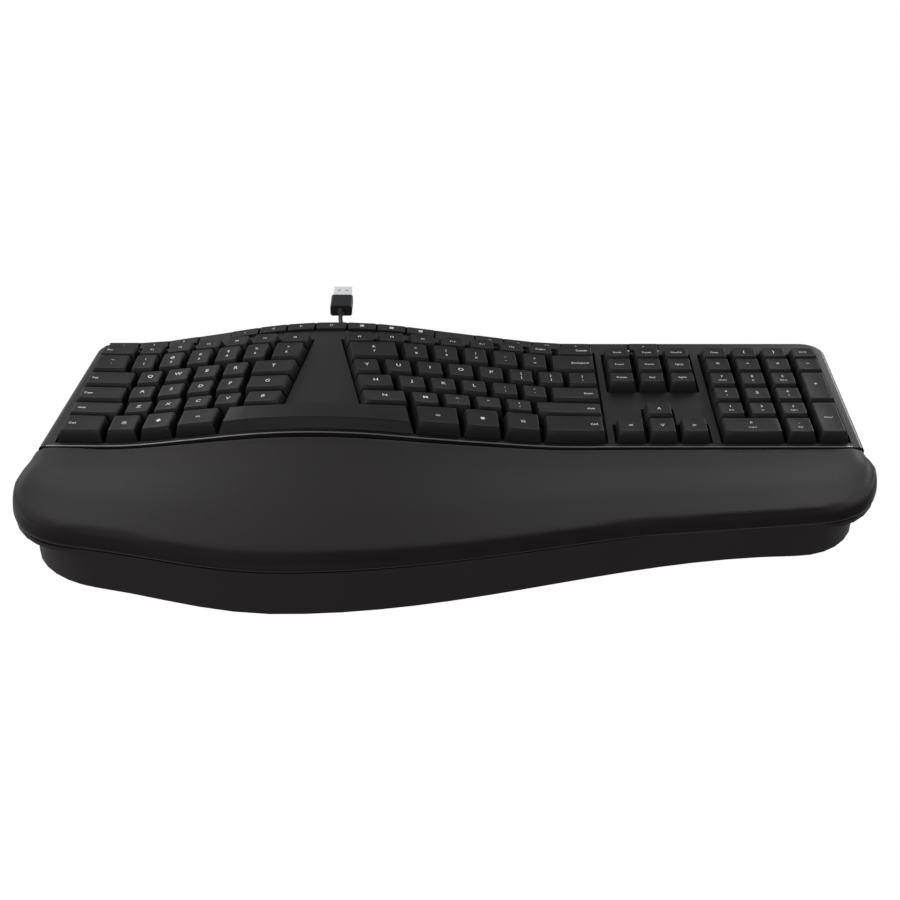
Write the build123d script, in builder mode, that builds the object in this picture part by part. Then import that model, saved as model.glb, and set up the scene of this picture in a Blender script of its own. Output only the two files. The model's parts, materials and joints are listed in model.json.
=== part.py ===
"""Split ergonomic keyboard with a cushioned palm rest, on a plinth that lifts its front edge.

Millimetres. X runs left to right as the typist sits, Y from the typist to the rear, Z up.
The origin is the centre of the footprint on the desk.
"""
from build123d import *
from math import atan, ceil, cos, degrees, hypot, pi, radians, sin, sqrt, tan
import os

os.makedirs("parts", exist_ok=True)

# Footprint
half_width = 232.0
rear_y = 131.0
front_y = -131.0
left_front_x = -230.5      # the case's left side slants in towards the rear
left_rear_x = -217.5
rear_corner_r = 14.0

# Deck: the upper face of the case, a gull shape across X that falls towards the rear
deck_fall_deg = 2.8
left_flank_z = 18.5
right_flank_z = 17.8
apex_x, apex_z = -75.0, 36.5
left_knee_x, right_knee_x = -182.0, 60.0
knee_r_left, crest_r, knee_r_right = 200.0, 300.0, 300.0
beyond = 300.0             # prisms run this far past the object

# Case
wall = 2.2
deck_thick = 1.8
edge_r = 2.6
part_z = 7.0               # underside of the upper case's skirt
floor_z = 0.8
floor_thick = 1.6
pan_inset = 2.5
pan_wall = 1.8
pan_rim_z = 6.6
rim_width = 4.3            # border between the front keys and the palm rest
aperture_gap = 0.8         # key block to the edge of its opening

# Rows of keys, front and rear edge of the caps at the outer end of each block
bottom_row = (5.0, 26.0)
row_pitch = 18.3
key_gap = 0.8
first_row = 26.4
number_depth = 20.6
function_depth = 14.4

# Keycaps
cap_skirt = 1.2            # the skirt stops this far below the deck
cap_side_draft = 0.32      # inset per millimetre of height
cap_rear_draft = 0.18
cap_front_draft = 0.44
cap_edge = 0.6
cap_wall = 1.1
cap_roof = 1.5
travel = 2.0
plunger = 4.6
plunger_clear = 0.5

# Layers under the keys, measured down from the deck
frame_top = 4.0
frame_thick = 1.2
plunger_up = 0.1           # the plunger ends this far above the frame's underside
dome_gap = 0.4             # plunger at the end of its travel to the flattened dome
dome_high = 0.1
bar_post_up = 0.2          # the bar's posts end square on a sloping deck, so they stop higher
dome_r = 4.0
dome_sheet_thick = 0.3
membrane_thick = 0.3
backing_thick = 0.6
rib_clear = 0.2
rib_thick = 1.6
stack_inset = 4.6

# Palm rest
palm_gap = 0.4
tray_thick = 2.4
tray_inset = 1.2
tray_tilt = 0.12           # the tray rises this much per millimetre towards the typist
plinth_side = 14.5         # the plinth stands in from the palm rest at each side
plinth_front = 3.5
plinth_wall = 2.0
pad_drop = 0.3             # the pad's rear edge lies this far below the deck
pad_roll = 8.0
pad_shoulder = 7.0

# Fasteners
post_r = 3.0
post_bore_r = 1.15
screw_r = 1.1
screw_head_r = 2.5
screw_head_high = 1.6
boss_r = 3.5
boss_top = 5.0
post_gap = 0.2
post_clear = 0.8

# Rubber feet
foot_r = 6.0
foot_thick = 1.45
foot_clear = 0.15

# Folding feet
stand_wide = 30.0
stand_long = 22.0
stand_thick = 3.8
stand_base_z = 1.0
stand_clear = 0.4
stand_pin_r = 1.25
stand_pin_long = 2.2
stand_bore_clear = 0.05
stand_wall = 2.4
stand_roof = 1.2
stand_notch = 3.0
stand_hinge_y = -50.0
stand_x = 140.0

# Cable
cord_d = 2.8
cord_sides = 8
turn_step = 0.4            # most turn between two rings of the hank, in radians
exit_x, exit_z = -8.0, 4.1
relief_r = 2.3
relief_end_y = 137.0
relief_flange = 1.2
plug_x = -71.5
plug_y = 186.5
plug_z = 3.85
plug_body_size = (14.2, 16.0, 7.6)
plug_shell_size = (12.0, 14.4, 4.5)
plug_shell_wall = 0.4
plug_relief_long = 5.0

# The cable folded into a hank: its runs lie along X, far from the case and near it in turn
hank_x = -76.0
hank_z = 2.15
hank_half = 28.0
hank_step = 3.1            # between runs side by side
hank_layer = 3.3
hank_far, hank_near = 167.7, 130.3
hank_pairs = 4             # pairs of runs on the floor
hank_start = 23.0
hank_end = 16.0
hank_waist = 2.0
tie_wide = 5.0
tie_thick = 0.5

fall = tan(radians(deck_fall_deg))


# Deck heights and slopes


def blend_corners(x, points, radii):
    # Height and slope at x of a line through the points, its corners rounded to the radii
    slopes = [
        (b[1] - a[1]) / (b[0] - a[0]) for a, b in zip(points[:-1], points[1:])
    ]
    for corner, before, after, radius in zip(points[1:-1], slopes[:-1], slopes[1:], radii):
        reach = radius * tan(abs(atan(after) - atan(before)) / 2)
        if abs(x - corner[0]) <= reach:
            step = x - corner[0] + reach
            bend = (after - before) / (2 * reach)
            height = corner[1] + before * (step - reach) + bend * step**2 / 2
            return height, before + bend * step
    for corner, slope in zip(points[1:], slopes):
        if x <= corner[0]:
            return corner[1] + slope * (x - corner[0]), slope
    return points[-1][1] + slopes[-1] * (x - points[-1][0]), slopes[-1]


deck_points = [
    (-beyond, left_flank_z),
    (left_knee_x, left_flank_z),
    (apex_x, apex_z),
    (right_knee_x, right_flank_z),
    (beyond, right_flank_z),
]
deck_radii = [knee_r_left, crest_r, knee_r_right]


def deck(x):
    return blend_corners(x, deck_points, deck_radii)


def deck_z(x, y):
    return deck(x)[0] - fall * y


def on_slope(x):
    # the deck's straight slopes carried on to the crest
    knee = left_knee_x if x < apex_x else right_knee_x
    flank = left_flank_z if x < apex_x else right_flank_z
    return apex_z + (x - apex_x) * (flank - apex_z) / (knee - apex_x)


# The layers under the keys are folded from flat facets, with a flat across the crest
crest_flat = 33.0
facet_points = [
    (-beyond, left_flank_z),
    (left_knee_x, left_flank_z),
    (apex_x - crest_flat, on_slope(apex_x - crest_flat)),
    (apex_x + crest_flat, on_slope(apex_x + crest_flat)),
    (right_knee_x, right_flank_z),
    (beyond, right_flank_z),
]


def facet_z(x, y):
    return blend_corners(x, facet_points, [0.001] * 4)[0] - fall * y


# Plan lines that run across the keyboard


def wave(x, middle, left_reach, right_reach):
    # 1 at the middle, easing to 0 at either reach
    reach = left_reach if x < middle else right_reach
    return 0.5 + 0.5 * cos(pi * min(1.0, abs(x - middle) / reach))


rim_front_y = 0.3
rim_sag = 9.5
rim_middle, rim_left, rim_right = -55.0, 165.0, 150.0


def palm_line(x):
    # where the palm rest meets the case
    return rim_front_y - rim_sag * wave(x, rim_middle, rim_left, rim_right)


palm_apex_x = -85.0
palm_left_reach, palm_right_reach = 130.0, 275.0
palm_left_rise, palm_right_rise = 26.0, 49.0


def front_line(x):
    rise = palm_left_rise if x < palm_apex_x else palm_right_rise
    return front_y + rise * (1 - wave(x, palm_apex_x, palm_left_reach, palm_right_reach))


def rounded_front(x, side_inset, front_inset):
    # the front line with its two corners turned on quarter ellipses
    half = half_width - side_inset
    y = front_line(x) + front_inset
    corner, side_y = (36.5, -45.0) if x < 0 else (36.0, -20.0)
    side_y -= side_inset * 1.4
    past = (abs(x) - (half - corner)) / corner
    if past <= 0:
        return y
    return side_y + (y - side_y) * sqrt(max(0.0, 1 - past**2))


# Prisms that follow the deck


def deck_line(depth, faceted=False):
    line = facet_points if faceted else deck_points
    return [(x, z - depth) for x, z in line]


def deck_prism(line, radii=None, thick=None, slope=fall):
    # everything below a line in X and Z that is carried along Y, or a layer of it
    start = -beyond
    raised = [(x, z - slope * start) for x, z in line]
    depth = 2 * beyond if thick is None else thick
    if thick is None:
        low = [(raised[-1][0], -depth), (raised[0][0], -depth)]
    else:
        low = [(x, z - depth) for x, z in reversed(raised)]
    with BuildPart() as prism:
        with BuildSketch(Plane.XZ.offset(-start)):
            with BuildLine():
                if radii:
                    FilletPolyline(*raised, radius=radii)
                else:
                    Polyline(*raised)
                Polyline(raised[-1], *low, raised[0])
            make_face()
        extrude(amount=2 * beyond / cos(atan(slope)), dir=(0, 1, -slope))
    return prism.part


under_deck = deck_prism(deck_line(0), deck_radii)
under_shell = deck_prism(deck_line(deck_thick), deck_radii)


# Plan outlines


def case_side_x(y):
    return left_front_x + (left_rear_x - left_front_x) * y / rear_y


def case_region(inset, front):
    # the case's outline behind Y = front, its rear corners rounded
    left_in = inset / cos(atan((left_rear_x - left_front_x) / rear_y))
    with BuildSketch() as region:
        with BuildLine():
            Polyline(
                (case_side_x(front) + left_in, front),
                (case_side_x(rear_y - inset) + left_in, rear_y - inset),
                (half_width - inset, rear_y - inset),
                (half_width - inset, front),
                close=True,
            )
        make_face()
        fillet(region.vertices().group_by(Axis.Y)[-1], rear_corner_r - inset)
    return region.sketch


rim_count = 21
rim_stations = [
    rim_middle - rim_left + (rim_left + rim_right) * i / rim_count for i in range(rim_count + 1)
]


def behind_rim(shift):
    # everything behind the line where the palm rest starts, moved back by shift
    points = [(x, palm_line(x) + shift) for x in rim_stations]
    with BuildSketch() as region:
        with BuildLine():
            Polyline(
                (-beyond, points[0][1]), *points, (beyond, points[-1][1]),
                (beyond, beyond), (-beyond, beyond), close=True,
            )
        make_face()
    return region.sketch


# Key blocks: f runs 0 to 1 from the outer edge of a block to its inner edge

left_outer_x, left_outer_lean = -221.9, 0.063
left_inner_x, left_inner_lean = -99.6, 0.145
right_outer_x = 88.8
right_inner_x, right_inner_lean = -44.5, -0.183
row_drop = 11.0            # the inner end of a row is this much nearer the typist


def left_block(f, s):
    outer = left_outer_x + left_outer_lean * s
    inner = left_inner_x + left_inner_lean * s
    return outer + f * (inner - outer), s - row_drop * (0.33 * f + 0.67 * f * f)


def right_block(f, s):
    inner = right_inner_x + right_inner_lean * s
    return right_outer_x + f * (inner - right_outer_x), s - row_drop * f * f


letter_rows = {
    "z": (first_row, first_row + row_pitch - 0.3),
    "home": (first_row + row_pitch, first_row + 2 * row_pitch - 0.4),
    "tab": (first_row + 2 * row_pitch, first_row + 3 * row_pitch - 0.4),
}
number_rear = first_row + 3 * row_pitch + number_depth
letter_rows["number"] = (first_row + 3 * row_pitch + 0.1, number_rear)
letter_rows["function"] = (number_rear + 0.4, number_rear + 0.4 + function_depth)

# Rear height, front height of a cap above the deck in each row
row_heights = {
    "strip": (1.2, 1.2),
    "function": (5.6, 4.8),
    "number": (6.6, 5.4),
    "tab": (5.9, 5.3),
    "home": (5.4, 5.5),
    "z": (5.0, 6.2),
    "bottom": (7.0, 6.0),
}


class Key:
    # One key: its node, the plan corners of its caps (front left, anticlockwise) and its row
    def __init__(self, node, corners, row):
        self.node, self.corners, self.row = node, corners, row
        self.x = sum(c[0] for c in corners) / 4
        self.y = sum(c[1] for c in corners) / 4
        self.slope = deck(self.x)[1]
        z = deck_z(self.x, self.y)
        along = Vector(1, (corners[1][1] - corners[0][1]) / (corners[1][0] - corners[0][0]), 0)
        normal = Vector(-self.slope, fall, 1).normalized()
        along = (along - normal * along.dot(normal)).normalized()
        self.plane = Plane(origin=(self.x, self.y, z), x_dir=along, z_dir=normal)
        self.sunk = z - facet_z(self.x, self.y)
        self.quad = []
        for x, y in corners:
            lift = z + self.slope * (x - self.x) - fall * (y - self.y)
            point = self.plane.to_local_coords(Vector(x, y, lift))
            self.quad.append((point.X, point.Y))
        self.wide = hypot(self.quad[1][0] - self.quad[0][0], self.quad[1][1] - self.quad[0][1])


def inset_quad(quad, insets):
    # moves the front, right, rear and left side of a quad inwards by its own amount
    lines = []
    for i in range(4):
        (x0, y0), (x1, y1) = quad[i], quad[(i + 1) % 4]
        size = hypot(x1 - x0, y1 - y0)
        nx, ny = (y0 - y1) / size, (x1 - x0) / size
        lines.append((nx, ny, nx * x0 + ny * y0 + insets[i]))
    corners = []
    for i in range(4):
        (a, b, c), (d, e, f) = lines[i - 1], lines[i]
        cross = a * e - b * d
        corners.append(((c * e - b * f) / cross, (a * f - c * d) / cross))
    return corners


def flat_sided(sections):
    # a solid through sections with the same number of corners; a twisted side is cut into triangles
    outlines = [sections[0], sections[-1]]
    for low, high in zip(sections[:-1], sections[1:]):
        for a, b, c, d in zip(low, low[1:] + low[:1], high[1:] + high[:1], high):
            if abs((b - a).cross(c - a).dot(d - a)) < 1e-6:
                outlines.append([a, b, c, d])
            else:
                outlines += [[a, b, c], [a, c, d]]
    return Solid(Shell([Face(Wire.make_polygon(outline, close=True)) for outline in outlines]))


def drafted_section(key, start, drafts, middle, lean):
    # the quad's section by a plane at height middle at the key's centre, leaning by lean along Y
    low = inset_quad(key.quad, start)
    unit = inset_quad(key.quad, [a + b for a, b in zip(start, drafts)])
    corners = []
    for (x0, y0), (x1, y1) in zip(low, unit):
        rise = (middle + lean * y0) / (1 - lean * (y1 - y0))
        at = (x0 + rise * (x1 - x0), y0 + rise * (y1 - y0), rise - cap_skirt)
        corners.append(key.plane.from_local_coords(Vector(*at)))
    return corners


def key_cap(key):
    # a hollow drafted cap with an eased upper edge and its plunger
    rear, front = row_heights[key.row]
    deep = key.quad[3][1] - key.quad[0][1]
    middle = cap_skirt + (rear + front) / 2
    lean = (rear - front) / deep
    flat = key.row == "strip"
    steep = 0.3 if flat else 1.0
    drafts = [d * steep for d in (cap_front_draft, cap_side_draft, cap_rear_draft, cap_side_draft)]
    edge = cap_edge * (0.5 if flat else 1.0)
    outside = [key_gap / 2] * 4
    inside = [key_gap / 2 + cap_wall] * 4
    eased = [o + (middle - edge) * d + edge - middle * d for o, d in zip(outside, drafts)]
    reach = frame_top + frame_thick - plunger_up + key.sunk
    roof = middle - cap_roof * (0.6 if flat else 1.0)
    with BuildPart() as cap:
        add(flat_sided([
            drafted_section(key, outside, drafts, 0, 0),
            drafted_section(key, outside, drafts, middle - edge, lean),
            drafted_section(key, eased, drafts, middle, lean),
        ]))
        hollow = flat_sided([
            drafted_section(key, inside, drafts, 0, 0),
            drafted_section(key, inside, drafts, roof, lean),
        ])
        add(hollow, mode=Mode.SUBTRACT)
        with BuildSketch(key.plane.offset(-reach)):
            Rectangle(plunger, plunger)
        extrude(amount=reach + roof - cap_skirt + cap_roof / 3)
    return cap.part


keys = []


def add_row(block, row, band, nodes, widths):
    # one row of a block, from its outer end, each key as wide as its share of the widths
    total = sum(widths)
    done = 0.0
    front, rear = band
    for node, width in zip(nodes, widths):
        f0, f1 = done / total, (done + width) / total
        done += width
        if block is right_block:
            f0, f1 = f1, f0
        corners = [block(f0, front), block(f1, front), block(f1, rear), block(f0, rear)]
        keys.append(Key(node, corners, row))


# Widths in each row, outer end first
add_row(left_block, "function", letter_rows["function"],
        ["escape_key"] + ["function_keys_left"] * 6, [24.1, 17.4, 17.8, 17.8, 17.0, 17.4, 19.0])
add_row(left_block, "number", letter_rows["number"],
        ["number_keys_left"] * 7, [23.3, 17.0, 17.0, 17.0, 17.0, 17.0, 20.1])
add_row(left_block, "tab", letter_rows["tab"],
        ["tab_key"] + ["upper_letters_left"] * 5, [31.1, 17.0, 17.4, 17.4, 17.0, 27.6])
add_row(left_block, "home", letter_rows["home"],
        ["caps_lock_key"] + ["home_letters_left"] * 5, [29.9, 17.5, 17.5, 17.3, 17.3, 26.0])
add_row(left_block, "z", letter_rows["z"],
        ["shift_key_left"] + ["lower_letters_left"] * 5, [31.7, 17.5, 17.4, 17.4, 17.0, 22.6])
add_row(right_block, "function", letter_rows["function"],
        ["delete_key"] + ["function_keys_right"] * 7, [24.8, 17.8, 18.1, 17.9, 18.1, 18.3, 18.5, 19.7])
add_row(right_block, "number", letter_rows["number"],
        ["backspace_key"] + ["number_keys_right"] * 6, [29.1, 18.0, 17.9, 17.5, 18.1, 17.9, 31.3])
add_row(right_block, "tab", letter_rows["tab"],
        ["backslash_key"] + ["upper_letters_right"] * 7, [19.8, 18.2, 17.7, 17.7, 18.0, 18.2, 18.2, 17.7])
add_row(right_block, "home", letter_rows["home"],
        ["enter_key"] + ["home_letters_right"] * 6, [30.9, 17.2, 18.0, 17.8, 17.8, 18.4, 22.6])
add_row(right_block, "z", letter_rows["z"],
        ["shift_key_right"] + ["lower_letters_right"] * 5, [40.4, 17.6, 17.6, 18.0, 18.3, 27.2])

# The bottom row's front edge follows the rim, its rear edge the row behind it
space_left_x, space_right_x = -128.5, -20.5


def bottom_edge(x):
    return palm_line(x) + rim_width + aperture_gap - key_gap / 2


def bottom_rear(x):
    if x < left_inner_x:
        f = (x - left_block(0, bottom_row[1])[0]) / (left_inner_x - left_outer_x)
        return left_block(min(1.0, max(0.0, f)), bottom_row[1])[1]
    f = (right_outer_x - x) / (right_outer_x - right_inner_x)
    return right_block(min(1.0, max(0.0, f)), bottom_row[1])[1]


def add_bottom(node, x0, x1, lean0, lean1):
    # lean moves the rear corners along X so that the key's sides follow its neighbours
    corners = [
        (x0, bottom_edge(x0)),
        (x1, bottom_edge(x1)),
        (x1 + lean1, bottom_rear(x1 + lean1)),
        (x0 + lean0, bottom_rear(x0 + lean0)),
    ]
    keys.append(Key(node, corners, "bottom"))


left_bottom = [-221.6, -194.6, -174.6, -154.4, space_left_x - 1.0]
left_leans = [1.3, 1.8, 2.2, 2.6, 3.0]
for i, node in enumerate(["control_key_left"] + ["command_keys_left"] * 2 + ["alt_key_left"]):
    add_bottom(node, left_bottom[i], left_bottom[i + 1], left_leans[i], left_leans[i + 1])
right_bottom = [space_right_x + 1.0, 7.0, 29.6, 52.2, right_outer_x]
right_leans = [-3.0, -1.9, -1.2, -0.6, 0.0]
for i, node in enumerate(["alt_key_right"] + ["command_keys_right"] * 2 + ["control_key_right"]):
    add_bottom(node, right_bottom[i], right_bottom[i + 1], right_leans[i], right_leans[i + 1])

# Straight blocks
pad_pitch = 18.1
nav_x = 93.3
pad_x = 152.9
pad_rows = [
    (bottom_row[0] + 0.4, 26.0),
    (26.4, 44.3),
    (44.7, 62.6),
    (63.0, 80.9),
    (81.3, 99.2),
    (99.6, 114.1),
]


def add_straight(node, x, columns, front, rear, row):
    corners = [(x, front), (x + columns * pad_pitch, front), (x + columns * pad_pitch, rear), (x, rear)]
    keys.append(Key(node, corners, row))


straight_rows = ["home", "home", "home", "tab", "tab", "function"]
nav_front = 65.6
for column in range(3):
    for r in (5, 4, 3):
        front = nav_front if r == 3 else pad_rows[r][0]
        x = nav_x + column * pad_pitch
        add_straight("navigation_keys", x, 1, front, pad_rows[r][1], straight_rows[r])
for column, node in enumerate(["arrow_key_left", "arrow_key_down", "arrow_key_right"]):
    add_straight(node, nav_x + column * pad_pitch, 1, *pad_rows[0], "home")
add_straight("arrow_key_up", nav_x + pad_pitch, 1, *pad_rows[1], "home")
for column in range(4):
    for r in (5, 4):
        node = "numpad_operators"
        add_straight(node, pad_x + column * pad_pitch, 1, *pad_rows[r], straight_rows[r])
for column in range(3):
    for r in (3, 2, 1):
        add_straight("numpad_digits", pad_x + column * pad_pitch, 1, *pad_rows[r], straight_rows[r])
add_straight("numpad_zero", pad_x, 2, *pad_rows[0], "home")
add_straight("numpad_digits", pad_x + 2 * pad_pitch, 1, *pad_rows[0], "home")
add_straight("numpad_plus", pad_x + 3 * pad_pitch, 1, pad_rows[2][0], pad_rows[3][1], "tab")
add_straight("numpad_enter", pad_x + 3 * pad_pitch, 1, pad_rows[0][0], pad_rows[1][1], "home")

# Low keys along the rear edge
strip_front, strip_rear = 118.4, 127.6
strip_sets = [
    ("favourite_keys", -212.6, [19.6, 18.6, 18.6]),
    ("media_keys", -135.4, [17.6, 17.4, 17.6, 19.4, 18.2, 18.0, 17.8]),
    ("utility_keys", 15.4, [17.9, 17.9, 17.9, 17.9]),
    ("utility_keys", 110.8, [18.6]),
]
strip_openings = []
for node, start, widths in strip_sets:
    x = start
    for width in widths:
        corners = [(x, strip_front), (x + width, strip_front), (x + width, strip_rear), (x, strip_rear)]
        keys.append(Key(node, corners, "strip"))
        x += width
    strip_openings.append((start, x))


# Openings in the deck


def block_outline(block, front, rear):
    # plan outline of a block's rows, out to its clearance
    outer, inner = 0.0, 1.0
    steps = 4
    grow = aperture_gap - key_gap / 2
    side = grow / (right_outer_x - right_inner_x)
    shares = [outer - side + (inner - outer + 2 * side) * i / steps for i in range(steps + 1)]
    edge_front = [block(f, front - grow) for f in shares]
    edge_rear = [block(f, rear + grow) for f in shares]
    return edge_front + edge_rear[::-1]


def rectangle_opening(x0, x1, y0, y1):
    grow = aperture_gap - key_gap / 2
    with Locations(((x0 + x1) / 2, (y0 + y1) / 2)):
        Rectangle(x1 - x0 + 2 * grow, y1 - y0 + 2 * grow)


def key_openings():
    # the openings that the blocks of keys stand in
    block_rear = letter_rows["function"][1]
    grow = aperture_gap - key_gap / 2
    with BuildSketch() as openings:
        for block in (left_block, right_block):
            with BuildLine():
                Polyline(*block_outline(block, first_row - key_gap, block_rear), close=True)
            make_face()
        front, rear = [], []
        steps = 12
        low, high = left_bottom[0] - grow, right_outer_x + grow
        for i in range(steps + 1):
            x = low + (high - low) * i / steps
            front.append((x, bottom_edge(x) - grow))
            lean = left_leans[0] * (1 - i / steps)
            rear.append((x + lean, bottom_rear(x) + grow))
        with BuildLine():
            Polyline(*front, *rear[::-1], close=True)
        make_face()
        nav_right = nav_x + 3 * pad_pitch
        rectangle_opening(nav_x, nav_right, nav_front, pad_rows[5][1])
        rectangle_opening(nav_x, nav_right, *pad_rows[0])
        rectangle_opening(nav_x + pad_pitch, nav_x + 2 * pad_pitch, pad_rows[0][0], pad_rows[1][1])
        rectangle_opening(pad_x, pad_x + 4 * pad_pitch, pad_rows[0][0], pad_rows[5][1])
        for start, end in strip_openings:
            rectangle_opening(start, end, strip_front, strip_rear)
    return openings.sketch


# Screw posts: on the case, and on the palm rest's tray
case_posts = [(-74.0, 92.0), (-74.0, 42.0), (118.0, 54.0), (-145.0, 122.0), (3.0, 122.0),
              (98.0, 122.0), (150.0, 122.0), (218.0, 122.0)]
tray_posts = [(-188.0, -50.0), (-75.0, -80.0), (40.0, -60.0), (185.0, -35.0)]
foot_spots = [(-200.0, -70.0), (-85.0, -115.0), (110.0, -72.0)]
foot_spots += [(-200.0, 108.0), (0.0, 108.0), (212.0, 108.0)]

case_plan = case_region(0, -20.0)
post_hole_deep = 4.0

with BuildPart() as cavity:
    with BuildSketch():
        add(case_region(wall, -20.0))
        add(behind_rim(wall), mode=Mode.INTERSECT)
    extrude(amount=80)
    add(under_shell, mode=Mode.INTERSECT)


def octagon(radius, spots):
    with Locations(*spots):
        RegularPolygon(radius, 8, major_radius=False)


with BuildPart() as top_case:
    with BuildSketch(Plane.XY.offset(part_z)):
        add(case_plan)
        add(behind_rim(0), mode=Mode.INTERSECT)
    extrude(amount=60)
    add(under_deck, mode=Mode.INTERSECT)
    upper = []
    for edge in top_case.edges():
        middle = edge.center()
        if middle.Z > part_z + 1 and middle.Y > rim_front_y + 1 and abs(edge.tangent_at(0.5).Z) < 0.5:
            if abs(middle.X) > half_width - 30 or middle.Y > rear_y - 20:
                upper.append(edge)
    fillet(upper, edge_r)
    add(cavity.part, mode=Mode.SUBTRACT)
    with BuildSketch(Plane.XY):
        add(key_openings())
    extrude(amount=80, mode=Mode.SUBTRACT)
    with BuildSketch(Plane.XY.offset(boss_top + post_gap)):
        octagon(post_r, case_posts)
    posts = extrude(amount=60, mode=Mode.PRIVATE)
    add(posts & deck_prism(deck_line(deck_thick / 2), deck_radii))
    with BuildSketch(Plane.XY.offset(boss_top + post_gap)):
        octagon(post_bore_r, case_posts)
    extrude(amount=post_hole_deep, mode=Mode.SUBTRACT)
top_case.part.label = "top_case"
export_step(top_case.part, "parts/top_case.step")
print("top_case", len(top_case.part.solids()), round(top_case.part.volume))

# Keys, one file for each node
key_nodes = []
for key in keys:
    if key.node not in key_nodes:
        key_nodes.append(key.node)
for name in key_nodes:
    group = Compound(children=[key_cap(key) for key in keys if key.node == name])
    group.label = name
    export_step(group, f"parts/{name}.step")

# The space bar follows the crest: sections across it, tied to the sides of its neighbours
bar_count = 8
bar_gap = key_gap / 2
bar_rear, bar_front = row_heights["bottom"]
bar_posts = [-118.0, apex_x, -32.0]


def bar_section(f, outline, side):
    # outline gives (share of the depth, inset, height); side is the ends' inset per millimetre
    x0 = space_left_x - 1.0 + side[0] + f * (space_right_x + 1.0 - space_left_x + 1.0 - 2 * side[0])
    lean = left_leans[-1] + f * (right_leans[0] - left_leans[-1])
    y0 = bottom_edge(x0) + bar_gap
    x1 = x0 + lean
    y1 = bottom_rear(x1) - bar_gap
    z0, z1 = deck_z(x0, y0), deck_z(x1, y1)
    shift = side[1] * (1 if f == 0 else -1 if f == 1 else 0)
    points = []
    for share, inset, height in outline:
        t = share + inset / (y1 - y0)
        rise = height + cap_skirt
        points.append(Vector(
            x0 + t * (x1 - x0) + shift * rise,
            y0 + t * (y1 - y0),
            z0 + t * (z1 - z0) + height,
        ))
    return points


bar_outside = [
    (0, 0, -cap_skirt),
    (0, cap_front_draft * bar_front, bar_front - cap_edge),
    (0, cap_front_draft * bar_front + cap_edge, bar_front),
    (1, -cap_rear_draft * bar_rear - cap_edge, bar_rear),
    (1, -cap_rear_draft * bar_rear, bar_rear - cap_edge),
    (1, 0, -cap_skirt),
]
bar_inside = [
    (0, cap_wall, -cap_skirt - 1.0),
    (0, cap_wall + cap_front_draft * bar_front, bar_front - cap_roof),
    (1, -cap_wall - cap_rear_draft * bar_rear, bar_rear - cap_roof),
    (1, -cap_wall, -cap_skirt - 1.0),
]
bar_y = (bottom_edge(apex_x) + bottom_rear(apex_x)) / 2
bar_plane = Plane(origin=(apex_x, bar_y, 0), x_dir=(1, 0, 0), z_dir=(0, fall, 1))
bar_spots = []

with BuildPart() as space_bar:
    steps = [i / bar_count for i in range(bar_count + 1)]
    add(flat_sided([bar_section(f, bar_outside, (bar_gap, cap_side_draft)) for f in steps]))
    hollow = flat_sided([bar_section(f, bar_inside, (bar_gap + cap_wall, cap_side_draft)) for f in steps])
    add(hollow, mode=Mode.SUBTRACT)
    for x in bar_posts:
        y = (bottom_edge(x) + bottom_rear(x)) / 2
        low = facet_z(x, y) - frame_top - frame_thick + plunger_up + bar_post_up
        high = deck_z(x, y) + bar_front - cap_roof / 2
        with BuildSketch(Plane(origin=(x, y, low), x_dir=(1, 0, 0), z_dir=(0, fall, 1))):
            Rectangle(plunger, plunger)
        extrude(amount=high - low)
        bar_spots.append((x, y))
space_bar.part.label = "space_bar"
export_step(space_bar.part, "parts/space_bar.step")
print("space_bar", len(space_bar.part.solids()), round(space_bar.part.volume))


# Layers under the keys
stack_plan = case_region(stack_inset, -20.0)
stack_front = wall + 1.0


def plunger_spots(depth):
    # where each plunger's axis passes a depth below the deck, and how far it is turned in plan
    spots = [(x, y, 0.0) for x, y in bar_spots]
    for key in keys:
        normal, along = key.plane.z_dir, key.plane.x_dir
        x = key.x - normal.X * (depth + key.sunk)
        y = key.y - normal.Y * (depth + key.sunk)
        spots.append((x, y, degrees(atan(along.Y / along.X))))
    return spots


def layer(top, thick, name, plungers=False):
    # a folded sheet with holes for the posts
    with BuildPart() as sheet:
        with BuildSketch():
            add(stack_plan)
            add(behind_rim(stack_front), mode=Mode.INTERSECT)
            with Locations(*case_posts):
                RegularPolygon(post_r + post_clear, 8, major_radius=False, mode=Mode.SUBTRACT)
            if plungers:
                for x, y, turn in plunger_spots(top + thick / 2):
                    with Locations(Location((x, y, 0), (0, 0, turn))):
                        Rectangle(
                            plunger + 2 * plunger_clear, plunger + 2 * plunger_clear, mode=Mode.SUBTRACT
                        )
        extrude(amount=80)
        add(deck_prism(deck_line(top, True), thick=thick), mode=Mode.INTERSECT)
    sheet.part.label = name
    return sheet.part


sheet_top = frame_top + frame_thick - plunger_up + travel + dome_gap + dome_high
membrane_top = sheet_top + dome_sheet_thick
backing_top = membrane_top + membrane_thick
backing_low = backing_top + backing_thick
key_frame = layer(frame_top, frame_thick, "key_frame", plungers=True)
export_step(key_frame, "parts/key_frame.step")
print("key_frame", len(key_frame.solids()))

with BuildPart() as dome_sheet:
    add(layer(sheet_top, dome_sheet_thick, "dome_sheet"))
    with BuildSketch():
        with Locations(*[(x, y) for x, y, turn in plunger_spots(sheet_top)]):
            Rectangle(2 * dome_r, 2 * dome_r)
    domes = extrude(amount=80, mode=Mode.PRIVATE)
    add(domes & deck_prism(deck_line(sheet_top - dome_high, True), thick=dome_high + dome_sheet_thick / 2))
dome_sheet.part.label = "dome_sheet"
export_step(dome_sheet.part, "parts/dome_sheet.step")
print("dome_sheet", len(dome_sheet.part.solids()))
for part in (
    layer(membrane_top, membrane_thick, "membrane"),
    layer(backing_top, backing_thick, "backing_plate"),
):
    export_step(part, f"parts/{part.label}.step")


# Palm rest

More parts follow.
